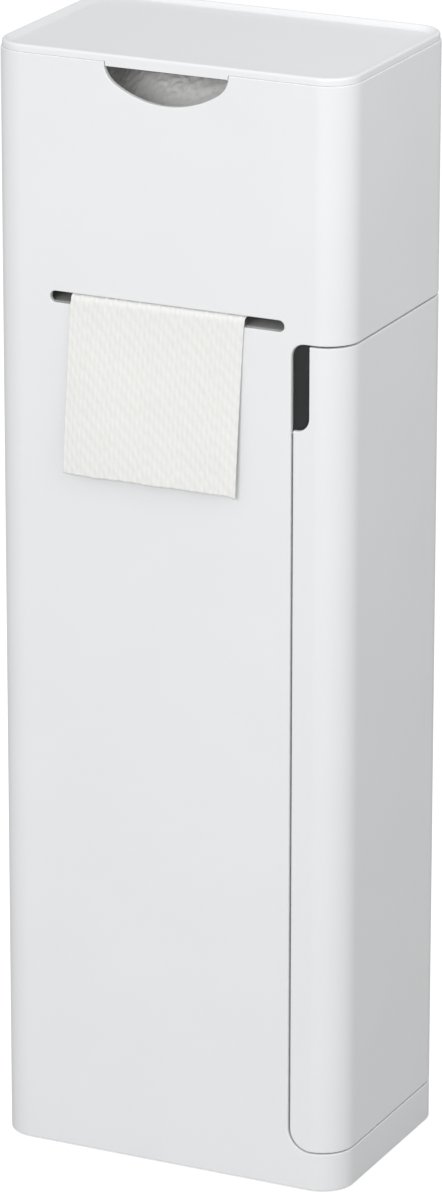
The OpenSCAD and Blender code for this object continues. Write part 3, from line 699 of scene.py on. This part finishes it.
def skin_share(middle):
    """Full rounding on the outer skin, more at the door's front seam, less inside or at the cove lip."""
    over_x = max(abs(middle.x) - (HALF_W - CORNER_R), 0)
    over_y = max(abs(middle.y) - (HALF_D - CORNER_R), 0)
    on_skin = math.hypot(over_x, over_y) > CORNER_R - SKIN_DEPTH
    lip = middle.y > HINGE_Y and abs(middle.x - COVE_TIP_X) < LIP_REACH
    if lip or not on_skin:
        return INNER_SHARE
    at_seam = max(1 - abs(middle.x - (BAY_X + DOOR_X) / 2) / SEAM_REACH, 0) if middle.y < 0 else 0
    return 1 + SEAM_SHARE * at_seam


def column():
    plate = prism("floor", rounded(INNER_W + ROOT, INNER_D + ROOT, INNER_R + ROOT), FLOOR_LOW, BAY_LOW_Z)
    body = combine(column_walls(), [plate, shelf_ledge()] + floor_ribs(), "UNION")
    combine(body, column_bores(), "DIFFERENCE")
    return smooth(soften(merged(body), share=skin_share))


dress(column(), WHITE_ABS, "stand", "housing")

# The lid: a swept rim round a shallow tray, with a skirt inside the column and a tab in the notch

LID_W = LID_HI.x
LID_D = LID_HI.y
LID_R = CORNER_R - (HALF_W - LID_W)
RIM_TOP = LID_HI.z
TRAY_Z = RIM_TOP - 3 * MM
PLATE_Z = TRAY_Z - 2.4 * MM
SKIRT_OUT = LID_W - (INNER_W - 0.4 * MM)
SKIRT_IN = SKIRT_OUT + 2 * MM
TAB_GAP = 0.4 * MM
TAB_H = 2.5 * MM
TAB_LAP = 0.5 * MM
# The skirt is cut away behind the notch, up to a short stub under the rim
SKIRT_CUT = NOTCH_W / 2 + 2 * MM
SKIRT_STUB = 1.5 * MM
# The lid's section, from the tray's floor over the rim to the plate: how far each point stands in
# from the lid's side, in millimetres, and its height
LID_SECTION = [
    (6.0, TRAY_Z), (4.9, TRAY_Z + 0.05 * MM), (4.2, TRAY_Z + 0.35 * MM), (3.5, TRAY_Z + 1.0 * MM),
    (2.9, TRAY_Z + 1.75 * MM), (2.6, TRAY_Z + 2.15 * MM), (2.35, TRAY_Z + 2.55 * MM),
    (2.05, RIM_TOP - 0.16 * MM), (1.65, RIM_TOP - 0.02 * MM), (1.25, RIM_TOP),
    (0.85, RIM_TOP - 0.06 * MM), (0.5, RIM_TOP - 0.26 * MM), (0.24, RIM_TOP - 0.56 * MM),
    (0.07, RIM_TOP - 0.95 * MM), (0.0, RIM_TOP - 1.4 * MM),
    (0.0, SEAM_Z + 0.5 * MM), (0.1, SEAM_Z + 0.2 * MM), (0.3, SEAM_Z + 0.04 * MM), (0.6, SEAM_Z),
    (SKIRT_OUT / MM, SEAM_Z), (SKIRT_OUT / MM, LID_LO.z + 0.4 * MM), (SKIRT_OUT / MM + 0.4, LID_LO.z),
    (SKIRT_IN / MM - 0.4, LID_LO.z), (SKIRT_IN / MM, LID_LO.z + 0.4 * MM), (SKIRT_IN / MM, PLATE_Z)]

lid = lofted("lid", [(rounded(LID_W - inset * MM, LID_D - inset * MM, LID_R - inset * MM), z)
                     for inset, z in LID_SECTION])
skirt_cut = box("skirt_cut", (-SKIRT_CUT, SKIRT_CUT), (-LID_D, -LID_D + SKIRT_IN + TAB_LAP),
                (LID_LO.z - OVER, SEAM_Z - SKIRT_STUB))
tab = box("tab", (-NOTCH_W / 2, NOTCH_W / 2), (-LID_D, -LID_D + SKIRT_OUT + TAB_LAP),
          (SEAM_Z - TAB_H, SEAM_Z + TAB_LAP))
combine(tab, [prism("tab_edge", notch_outline(TAB_GAP), -HALF_D - OVER, -INNER_D + OVER, "y")], "INTERSECT")
combine(lid, [skirt_cut], "DIFFERENCE")
combine(lid, [soften(tab, 0.3 * MM, segments=2)], "UNION")
dress(smooth(lid), WHITE_ABS, "lid", "lid_tray")

# The door: a panel that turns both right corners, with a finger pocket and two hinge lugs

LUG_R = INNER_R + 0.5 * MM
LUG_REACH = 7 * MM
LUG_T = 3 * MM
LUG_ZS = (BAY_LOW_Z + 3 * MM, BAY_TOP_Z - 10 * MM)
# The door's curved rear edge runs on inside the cove, up to this angle round the hinge
TUCK = 109


def door_plan():
    """The door from above: its outer skin from the front to the rear, and its inner one back."""
    front, rear = (HINGE_X, -HINGE_Y), (HINGE_X, HINGE_Y)
    outer = arc(front, CORNER_R, -90, 0, CORNER_STEPS) + arc(rear, CORNER_R, 0, TUCK, CORNER_STEPS)
    inner = arc(rear, INNER_R, TUCK, 0, CORNER_STEPS) + arc(front, INNER_R, 0, -90, CORNER_STEPS)
    return [(DOOR_X, -HALF_D)] + outer + inner + [(DOOR_X, -INNER_D)]


def door():
    panel = prism("door", door_plan(), DOOR_LO.z, DOOR_HI.z)
    x, low, top, r = DOOR_X, DOOR_LO.z, DOOR_HI.z, DOOR_CORNER_R
    corner = [(x - OVER, low - OVER), (x + r, low - OVER)]
    corner += arc((x + r, low + r), r, 270, 180, steps=20) + [(x - OVER, low + r)]
    floor = top - POCKET_H
    pocket = [(x - OVER, top + OVER), (x - OVER, floor)]
    pocket += arc((x + POCKET_W - POCKET_R, floor + POCKET_R), POCKET_R, 270, 360, steps=16)
    pocket += [(x + POCKET_W, top + OVER)]
    combine(panel, [prism("corner_cut", corner, -HALF_D - OVER, -INNER_D + OVER, "y"),
                    prism("pocket_cut", pocket, -HALF_D - OVER, -INNER_D + OVER, "y")], "DIFFERENCE")
    reach = math.degrees(math.asin(LUG_REACH / LUG_R))
    hinge = (HINGE_X, HINGE_Y)
    lug = [(HINGE_X - LUG_REACH, HINGE_Y - LUG_REACH)]
    lug += arc(hinge, LUG_R, -reach, 90 + reach, steps=40)
    combine(panel, [prism("lug", lug, z, z + LUG_T) for z in LUG_ZS], "UNION")
    bores = [bar("bore", hinge, PIN_BORE, z - OVER, z + LUG_T + OVER, steps=32) for z in LUG_ZS]
    combine(panel, bores, "DIFFERENCE")
    return smooth(soften(merged(panel), share=skin_share))


dress(door(), WHITE_ABS, "door", "door_panel")

# The toilet roll: an embossed outer turn, wound sides and a card core

ROLL_X = (ROLL_LO.x + ROLL_HI.x) / 2
ROLL_Z = (ROLL_LO.z + ROLL_HI.z) / 2
ROLL_R = (ROLL_HI.z - ROLL_LO.z) / 2
PAPER_W = ROLL_HI.x - ROLL_LO.x
CORE_OUT = (CORE_HI.z - CORE_LO.z) / 2
CARD_T = 0.8 * MM
BORE_R = CORE_OUT + 0.1 * MM
ROLL_EDGE = 2 * MM
# Points round the roll, and rows of them on the outer turn, on a wound side and on the edge between
ROLL_STEPS = 360
SKIN_ROWS = 150
SIDE_ROWS = 22
EDGE_ROWS = 5
# A wound side stands this far in from the paper's width, and more in its hollows
SIDE_INSET = 0.1 * MM
SIDE_HOLLOW = 0.25 * MM
HOLLOW_STEP = 3 * MM
# A face whose normal is this much along X belongs to a wound side
SIDE_FACING = 0.8
# Creases in the loose outer turn: how far apart, how deep, and how many times closer the finer ones lie
CREASE = 5 * MM
CREASE_DEPTH = 1.2 * MM
FINER = 2.3
# The embossing: upright lens shapes in columns, each column set off from the one beside it
DIMPLE_STEP = 2.7 * MM
DIMPLE_RISE = 7.6 * MM
DIMPLE_W = 2.1 * MM
DIMPLE_L = 6.6 * MM
DIMPLE_DEPTH = 0.34 * MM
DIMPLE_SHIFTS = (0.0, 0.55, 0.2, 0.8, 0.35, 0.68, 0.1)


def dimple(across, along):
    """How deep the embossing is, from 0 to 1, at a place on the flat paper."""
    column = round(across / DIMPLE_STEP)
    row = along / DIMPLE_RISE + DIMPLE_SHIFTS[column % len(DIMPLE_SHIFTS)]
    side = (across - column * DIMPLE_STEP) / (DIMPLE_W / 2)
    rise = (row - round(row)) * DIMPLE_RISE / (DIMPLE_L / 2)
    room = 1 - rise * rise
    if room <= abs(side):
        return 0.0
    return room * (1 - (side / room) ** 2)


# The noise is zero at grid points, so it is read at this height, between two layers of them
BETWEEN = 0.37


def crumple(across, along, size):
    """Smooth wandering between -1 and 1 with hollows about a size apart."""
    return noise.noise(Vector((across / size, along / size, BETWEEN)))


def toilet_roll():
    """The roll as rings round its axis: bore, left side, outer turn, right side.

    A point of the profile is a radius, a place along the axis, and its share of the relief.
    """
    half = PAPER_W / 2
    side_r = ROLL_R - ROLL_EDGE
    rings = []
    for side in (-1, 1):
        face = []
        for i in range(SIDE_ROWS):
            r = BORE_R + (side_r - BORE_R) * i / (SIDE_ROWS - 1)
            inset = SIDE_INSET + SIDE_HOLLOW * abs(crumple(r, side, HOLLOW_STEP))
            face.append((r, side * (half - inset), 0.0))
        for i in range(1, EDGE_ROWS):
            a = math.pi / 2 * i / EDGE_ROWS
            inset = ROLL_EDGE * (1 - math.cos(a))
            face.append((side_r + ROLL_EDGE * math.sin(a), side * (half - inset), math.sin(a) ** 3))
        rings.append(face)
    flat = PAPER_W - 2 * ROLL_EDGE
    skin = [(ROLL_R, ROLL_EDGE - half + flat * i / (SKIN_ROWS - 1), 1.0) for i in range(SKIN_ROWS)]
    profile = rings[0] + skin + rings[1][::-1]
    points, faces = [], []
    for radius, along, relief in profile:
        for i in range(ROLL_STEPS):
            a = 2 * math.pi * i / ROLL_STEPS
            spot = Vector((along, ROLL_R * math.cos(a), ROLL_R * math.sin(a)))
            fold = abs(noise.noise(spot / CREASE)) + 0.5 * abs(noise.noise(spot * FINER / CREASE))
            depth = DIMPLE_DEPTH * dimple(along, a * ROLL_R) + CREASE_DEPTH * max(1 - fold, 0)
            r = radius - relief * depth
            points.append((ROLL_X + along, r * math.cos(a), ROLL_Z + r * math.sin(a)))
    n = ROLL_STEPS
    for k in range(len(profile)):
        low, high = k * n, (k + 1) % len(profile) * n
        faces += [[low + i, low + (i + 1) % n, high + (i + 1) % n, high + i] for i in range(n)]
    return outward(mesh_object("toilet_roll", points, faces))


roll = toilet_roll()
roll.data.shade_smooth()
dress(roll, TISSUE, "roll", "paper_roll")
roll.data.materials.append(TISSUE_EDGES)
for face in roll.data.polygons:
    face.material_index = 1 if abs(face.normal.x) > SIDE_FACING else 0

CORE_IN = CORE_OUT - CARD_T
CORE_SECTION = [(CORE_IN, CORE_LO.x), (CORE_OUT, CORE_LO.x), (CORE_OUT, CORE_HI.x), (CORE_IN, CORE_HI.x)]
core = lathe("card_core", CORE_SECTION, (0, 0, ROLL_Z), axis="x", steps=128)
dress(smooth(soften(core, 0.15 * MM, segments=2)), CARD, "roll", "roll_core")

# The hanging sheet: off the roll, straight to the slot, over its lower edge and down

SHEET_T = 0.4 * MM
# The stretch that still lies over the roll, and its middle line's radius
WRAP = math.radians(18)
LINE_R = ROLL_R + 0.6 * MM
BEND_R = 3 * MM
BEND_Y = -HALF_D + 2.2 * MM
BEND_Z = SLOT_Z + SLOT_H / 2 - BEND_R - 0.7 * MM
HANG = BEND_Z - SHEET_LO.z
# The foot hangs this far in front of the bend, 0.5 mm inside the front of the sheet's box
HANG_OUT = BEND_Y - BEND_R - SHEET_LO.y - 0.5 * MM
# The strip starts a little to the right of the roll's middle and drifts to the left as it hangs
START_X = 0.5 * MM
DRIFT = -3.6 * MM
DRIFT_POWER = 0.6
# Over this run below the bend the free part gains shallow waves and sides that curl back
FREE_RUN = 60 * MM
WAVE = 0.5 * MM
WAVE_TURN = 17 * MM
WAVE_START = 0.6
BILLOW_STEP = 30 * MM
CURL = 1.1 * MM
# The torn foot: fine teeth, a slow wander and a right corner that hangs lower, all in the last stretch
FOOT_RUN = 4 * MM
TEETH = 0.35 * MM
TEETH_STEP = 1.6 * MM
TEAR = 0.5 * MM
TEAR_STEP = 18 * MM
CORNER_DROP = 0.9 * MM
CORNER_W = 6 * MM
# Rows and columns of the mesh, and the steps of its path round a bend, straight and down
SHEET_STEP = 0.9 * MM
SHEET_COLUMNS = 216
BEND_STEPS = 12
STRAIGHT_STEPS = 40
HANG_STEPS = 100
# The path's direction at a point is taken between two points this far before and after it
NEARBY = 0.2 * MM


def sheet_path():
    """The sheet's middle line, from the roll to the foot, as (y, z) and the length run so far."""
    toward = math.atan2(BEND_Z - ROLL_Z, BEND_Y)
    toward -= math.asin((LINE_R + BEND_R) / math.hypot(BEND_Y, BEND_Z - ROLL_Z))
    leave = toward + math.pi / 2
    path = []
    for i in range(BEND_STEPS):
        a = leave + WRAP * (1 - i / BEND_STEPS)
        path.append((LINE_R * math.cos(a), ROLL_Z + LINE_R * math.sin(a)))
    start = (toward - math.pi / 2) % (2 * math.pi)
    off = (LINE_R * math.cos(leave), ROLL_Z + LINE_R * math.sin(leave))
    on = (BEND_Y + BEND_R * math.cos(start), BEND_Z + BEND_R * math.sin(start))
    for i in range(STRAIGHT_STEPS):
        s = i / STRAIGHT_STEPS
        path.append((off[0] + (on[0] - off[0]) * s, off[1] + (on[1] - off[1]) * s))
    for i in range(BEND_STEPS):
        a = start + (math.pi - start) * i / BEND_STEPS
        path.append((BEND_Y + BEND_R * math.cos(a), BEND_Z + BEND_R * math.sin(a)))
    for i in range(HANG_STEPS + 1):
        s = i / HANG_STEPS
        path.append((BEND_Y - BEND_R - HANG_OUT * eased(s), BEND_Z - HANG * s))
    run = [0.0]
    for a, b in zip(path, path[1:]):
        run.append(run[-1] + math.dist(a, b))
    return path, run


def at_length(path, run, length):
    """The point of a path at a length along it."""
    k = 1
    while k < len(run) - 1 and run[k] < length:
        k += 1
    share = (length - run[k - 1]) / (run[k] - run[k - 1])
    return [path[k - 1][j] + (path[k][j] - path[k - 1][j]) * share for j in (0, 1)]


def eased(value):
    """A step from 0 to 1 with a soft start and end."""
    value = min(max(value, 0.0), 1.0)
    return value * value * (3 - 2 * value)


def hanging_sheet():
    """A thin closed sheet: both faces carry the embossing, and the free part hangs a little uneven."""
    path, run = sheet_path()
    total = run[-1]
    rows = math.ceil(total / SHEET_STEP)
    columns = SHEET_COLUMNS
    middle, normals = [], []
    for j in range(rows + 1):
        along = total * j / rows
        here = at_length(path, run, along)
        before = at_length(path, run, max(along - NEARBY, 0))
        after = at_length(path, run, min(along + NEARBY, total))
        step = Vector((0, after[0] - before[0], after[1] - before[1])).normalized()
        normal = Vector((1, 0, 0)).cross(step)
        below = along - (total - HANG)
        free = eased(below / FREE_RUN)
        torn = eased((below - HANG + FOOT_RUN) / FOOT_RUN)
        drift = DRIFT * min(max(below / HANG, 0.0), 1.0) ** DRIFT_POWER
        for i in range(columns + 1):
            across = PAPER_W * (i / columns - 0.5)
            # The 5 and the 9 are far-off lines of the noise, one for the teeth and one for the tear
            foot = TEETH * crumple(across, 5, TEETH_STEP) + TEAR * crumple(across, 9, TEAR_STEP)
            foot -= CORNER_DROP * eased((across - PAPER_W / 2 + CORNER_W) / CORNER_W)
            billow = math.sin(across / WAVE_TURN + WAVE_START) + crumple(across, along, BILLOW_STEP)
            curl = CURL * (2 * abs(across) / PAPER_W) ** 4
            place = Vector((ROLL_X + across + START_X + drift, here[0], here[1] + foot * torn))
            relief = free * (WAVE * billow + curl) - DIMPLE_DEPTH * dimple(across, along)
            middle.append(place + normal * relief)
            normals.append(normal)
    points = [p + n * (SHEET_T / 2) for p, n in zip(middle, normals)]
    points += [p - n * (SHEET_T / 2) for p, n in zip(middle, normals)]
    count = len(middle)
    wide = columns + 1
    faces = []
    for j in range(rows):
        for i in range(columns):
            a = j * wide + i
            faces.append([a, a + 1, a + wide + 1, a + wide])
            faces.append([count + a, count + a + wide, count + a + wide + 1, count + a + 1])
    rim = list(range(wide))
    rim += [j * wide + columns for j in range(1, rows + 1)]
    rim += [rows * wide + i for i in range(columns - 1, -1, -1)]
    rim += [j * wide for j in range(rows - 1, 0, -1)]
    faces += [[a, count + a, count + b, b] for a, b in zip(rim, rim[1:] + rim[:1])]
    return outward(mesh_object("hanging_sheet", points, faces)), total


sheet, sheet_length = hanging_sheet()
sheet.data.shade_smooth()
dress(sheet, TISSUE, "stand", "paper_sheet")

# Moulded and stamped pieces inside, which keep the CAD's form and get soft edges

for name, node, material, slot, body, width in [
        ("shelf", "roll_shelf", INNER_PP, "inner_pp", "stand", 0.4 * MM),
        ("roll_spindle", "spindle", INNER_PP, "inner_pp", "stand", 0.25 * MM),
        ("divider", "splash_divider", INNER_PP, "inner_pp", "stand", 0.6 * MM),
        ("catch_case", "catch_housing", CHARCOAL_PP, "charcoal_pp", "stand", 0.35 * MM),
        ("strike", "strike_plate", STEEL, "steel", "door", 0.15 * MM)]:
    dress(moulded_copy(name, node, width), material, body, node)

# The brush set: tub, splash collar, shaft with its grip and cap, and the bristles on their block

TUB_OUT = TUB_HI.x - TUB_X
TUB_BASE = TUB_OUT - 3 * MM
TUB_T = 2 * MM
SHAFT_R = 5 * MM
# The bore that the shaft stands in, in the collar, the grip and the block
SOCKET_R = SHAFT_R + 0.02 * MM
BRUSH = (TUB_X, TUB_Y, 0)
# A turned piece's section is a list of (radius, height)
TUB_SECTION = [
    (0, TUB_LO.z + 0.8 * MM), (TUB_BASE - 6 * MM, TUB_LO.z + 0.8 * MM), (TUB_BASE - 5 * MM, TUB_LO.z),
    (TUB_BASE - 2 * MM, TUB_LO.z), (TUB_BASE, TUB_LO.z + 2 * MM), (TUB_OUT - 1 * MM, TUB_HI.z - 4 * MM),
    (TUB_OUT, TUB_HI.z - 3 * MM), (TUB_OUT, TUB_HI.z), (TUB_OUT - TUB_T - 1 * MM, TUB_HI.z),
    (TUB_BASE - TUB_T, TUB_LO.z + 5 * MM), (TUB_BASE - TUB_T - 2 * MM, TUB_LO.z + 3 * MM),
    (0, TUB_LO.z + 3 * MM)]
tub = lathe("tub", TUB_SECTION, BRUSH)
dress(smooth(soften(tub, 0.6 * MM, limit=25)), INNER_PP, "tub", "brush_tub")

COLLAR_OUT = COLLAR_HI.x - TUB_X
NECK_R = SHAFT_R + 3 * MM
NECK_Z = COLLAR_LO.z + 7.4 * MM
COLLAR_SECTION = [
    (SOCKET_R, COLLAR_LO.z), (COLLAR_OUT, COLLAR_LO.z), (COLLAR_OUT, COLLAR_LO.z + 2.4 * MM),
    (NECK_R + 12 * MM, NECK_Z - 1.7 * MM), (NECK_R + 3 * MM, NECK_Z),
    (NECK_R + 0.9 * MM, NECK_Z + 0.9 * MM), (NECK_R, NECK_Z + 3 * MM), (NECK_R, COLLAR_HI.z),
    (SOCKET_R, COLLAR_HI.z)]
collar = lathe("collar", COLLAR_SECTION, BRUSH)
dress(smooth(soften(collar, 0.5 * MM, limit=25)), INNER_PP, "brush", "splash_collar")

GRIP_WAIST = 7 * MM
GRIP_R = GRIP_HI.x - TUB_X
GRIP_H = GRIP_HI.z - GRIP_LO.z
GRIP_STEPS = 28
SOCKET_END = GRIP_HI.z - 6 * MM
grip_section = [(SOCKET_R, GRIP_LO.z)]
for i in range(GRIP_STEPS + 1):
    swell = (1 - math.cos(math.pi * i / GRIP_STEPS)) / 2
    grip_section.append((GRIP_WAIST + (GRIP_R - GRIP_WAIST) * swell, GRIP_LO.z + GRIP_H * i / GRIP_STEPS))
grip_section += [(0, GRIP_HI.z), (0, SOCKET_END), (SOCKET_R, SOCKET_END)]
grip = lathe("grip", grip_section, BRUSH)
dress(smooth(soften(grip, 0.5 * MM)), WHITE_ABS, "brush", "handle_grip")

CAP_ROUND = 3 * MM
dome = arc((GRIP_R - CAP_ROUND, CAP_HI.z - CAP_ROUND), CAP_ROUND, 0, 90, steps=8)
cap = lathe("cap", [(0, CAP_LO.z), (GRIP_R, CAP_LO.z)] + dome + [(0, CAP_HI.z)], BRUSH)
dress(smooth(soften(cap, 0.3 * MM, segments=2)), CHARCOAL_PP, "brush", "grip_cap")

BLOCK_R = BLOCK_HI.x - TUB_X
BLOCK_SECTION = [
    (0, BLOCK_LO.z), (BLOCK_R, BLOCK_LO.z), (BLOCK_R, BLOCK_HI.z - 6 * MM),
    (SHAFT_R + 1 * MM, BLOCK_HI.z), (SOCKET_R, BLOCK_HI.z), (SOCKET_R, BLOCK_LO.z + 3 * MM),
    (0, BLOCK_LO.z + 3 * MM)]
block = lathe("bristle_core", BLOCK_SECTION, BRUSH)
dress(smooth(soften(block, 0.6 * MM)), WHITE_ABS, "brush", "bristle_block")

# Bristles: tufts set in staggered rings on the block, cut to the head's rounded shape

TUFT_RINGS = 9
TUFTS_A_RING = 12
TUFT_R = 1.5 * MM
TUFT_SIDES = 6
TUFT_SINK = 0.3 * MM
TUFTS_LOW = BLOCK_LO.z + 4 * MM
TUFTS_HIGH = BRISTLE_HI.z - 5 * MM
HEAD_R = BRISTLE_HI.x - TUB_X
HEAD_ROUND = 8 * MM
# The filaments, drawn thicker and fewer than real nylon ones, which are about 0.2 mm across
FILAMENTS = {"Filaments": 2.6e6, "Filament Radius": 0.22 * MM, "Fan": 0.3, "Waviness": 1.2 * MM, "Seed": 7}


def tuft_holes():
    """One small disc for each tuft, lying on the block and facing out from it."""
    points, faces = [], []
    for k in range(TUFT_RINGS):
        height = TUFTS_LOW + (TUFTS_HIGH - TUFTS_LOW) * k / (TUFT_RINGS - 1)
        for i in range(TUFTS_A_RING):
            a = 2 * math.pi * (i + 0.5 * (k % 2)) / TUFTS_A_RING
            out = Vector((math.cos(a), math.sin(a), 0))
            side = Vector((-math.sin(a), math.cos(a), 0))
            centre = Vector((TUB_X, TUB_Y, height)) + out * (BLOCK_R - TUFT_SINK)
            start = len(points)
            for j in range(TUFT_SIDES):
                b = 2 * math.pi * j / TUFT_SIDES
                up = Vector((0, 0, TUFT_R * math.sin(b)))
                points.append(centre + side * TUFT_R * math.cos(b) + up)
            faces.append(list(range(start, start + TUFT_SIDES)))
    return mesh_object("bristles", points, faces)


def head_shape():
    """The rounded cylinder that the bristle tips are trimmed to."""
    r = HEAD_ROUND
    low = arc((HEAD_R - r, BRISTLE_LO.z + r), r, -90, 0, steps=12)
    top = arc((HEAD_R - r, BRISTLE_HI.z - r), r, 0, 90, steps=12)
    return lathe("head_shape", [(0, BRISTLE_LO.z)] + low + top + [(0, BRISTLE_HI.z)], BRUSH)


def bristle_tree():
    """Filaments scattered in each disc, fanned out, and each as long as its way to the trimmed shape."""
    tree = bpy.data.node_groups.new("bristle_tufts", "GeometryNodeTree")
    for name, kind, note in [
            ("Geometry", "Geometry", "the discs that the filaments grow from"),
            ("Trimmed Shape", "Object", "the shape that their tips are cut to"),
            ("Filaments", "Float", "number per square metre"),
            ("Filament Radius", "Float", "in metres"),
            ("Fan", "Float", "sideways lean, 0 for none"),
            ("Waviness", "Float", "in metres"),
            ("Seed", "Int", "for the scatter and the lean"),
            ("Material", "Material", "the filaments' material")]:
        socket = tree.interface.new_socket(name, in_out="INPUT", socket_type="NodeSocket" + kind)
        socket.description = note
    tree.interface.new_socket("Geometry", in_out="OUTPUT", socket_type="NodeSocketGeometry")
    given = add(tree, "NodeGroupInput").outputs
    roots = add(tree, "GeometryNodeDistributePointsOnFaces",
                {"Mesh": given["Geometry"], "Density": given["Filaments"], "Seed": given["Seed"]})
    low_fan = add(tree, "ShaderNodeMath", {0: given["Fan"], 1: -1.0}, operation="MULTIPLY")
    lean = add(tree, "FunctionNodeRandomValue",
               {0: low_fan.outputs[0], 1: given["Fan"], "Seed": given["Seed"]}, data_type="FLOAT_VECTOR")
    leaning = add(tree, "ShaderNodeVectorMath", {0: roots.outputs["Normal"], 1: lean.outputs[0]},
                  operation="ADD")
    aim = add(tree, "ShaderNodeVectorMath", {0: leaning.outputs[0]}, operation="NORMALIZE")
    shape = add(tree, "GeometryNodeObjectInfo", {"Object": given["Trimmed Shape"]})
    ray = add(tree, "GeometryNodeRaycast",
              {"Target Geometry": shape.outputs["Geometry"], "Ray Direction": aim.outputs[0],
               "Ray Length": 0.2})
    # A tip stops short of the shape by a little more than the filament can wander
    inset = add(tree, "ShaderNodeMath", {0: given["Waviness"], 1: -1.2, 2: ray.outputs["Hit Distance"]},
                operation="MULTIPLY_ADD")
    size = add(tree, "ShaderNodeCombineXYZ",
               {0: given["Filament Radius"], 1: given["Filament Radius"], 2: inset.outputs[0]})
    turn = add(tree, "FunctionNodeAlignRotationToVector", {"Vector": aim.outputs[0]}, axis="Z")
    filament = add(tree, "GeometryNodeMeshCone", {
        "Vertices": 5, "Side Segments": 5, "Radius Top": 0.7, "Radius Bottom": 1.0, "Depth": 1.0})
    spread = add(tree, "GeometryNodeInstanceOnPoints",
                 {"Points": roots.outputs["Points"], "Instance": filament.outputs["Mesh"],
                  "Rotation": turn.outputs["Rotation"], "Scale": size.outputs[0]})
    real = add(tree, "GeometryNodeRealizeInstances", {"Geometry": spread.outputs[0]})
    # This tree works in metres: the filaments wander sideways about every 11 mm
    place = add(tree, "GeometryNodeInputPosition")
    wander = add(tree, "ShaderNodeTexNoise", {"Vector": place.outputs[0], "Scale": 90.0, "Detail": 0.0})
    centred = add(tree, "ShaderNodeVectorMath", {0: wander.outputs["Color"], 1: (0.5, 0.5, 0.5)},
                  operation="SUBTRACT")
    shift = add(tree, "ShaderNodeVectorMath", {0: centred.outputs[0], "Scale": given["Waviness"]},
                operation="SCALE")
    waved = add(tree, "GeometryNodeSetPosition", {"Geometry": real.outputs[0], "Offset": shift.outputs[0]})
    even = add(tree, "GeometryNodeSetShadeSmooth", {"Geometry": waved.outputs[0]})
    tinted = add(tree, "GeometryNodeSetMaterial",
                 {"Geometry": even.outputs[0], "Material": given["Material"]})
    output = add(tree, "NodeGroupOutput")
    tree.links.new(tinted.outputs[0], output.inputs[0])
    return tree


def bristle_head():
    piece = tuft_holes()
    shape = head_shape()
    maker = piece.modifiers.new("bristle_tufts", "NODES")
    maker.node_group = bristle_tree()
    values = {"Trimmed Shape": shape, "Material": NYLON, **FILAMENTS}
    for item in maker.node_group.interface.items_tree:
        if item.name in values:
            maker[item.identifier] = values[item.name]
    applied(piece)
    bpy.data.objects.remove(shape)
    return piece


dress(bristle_head(), NYLON, "brush", "bristle_head")
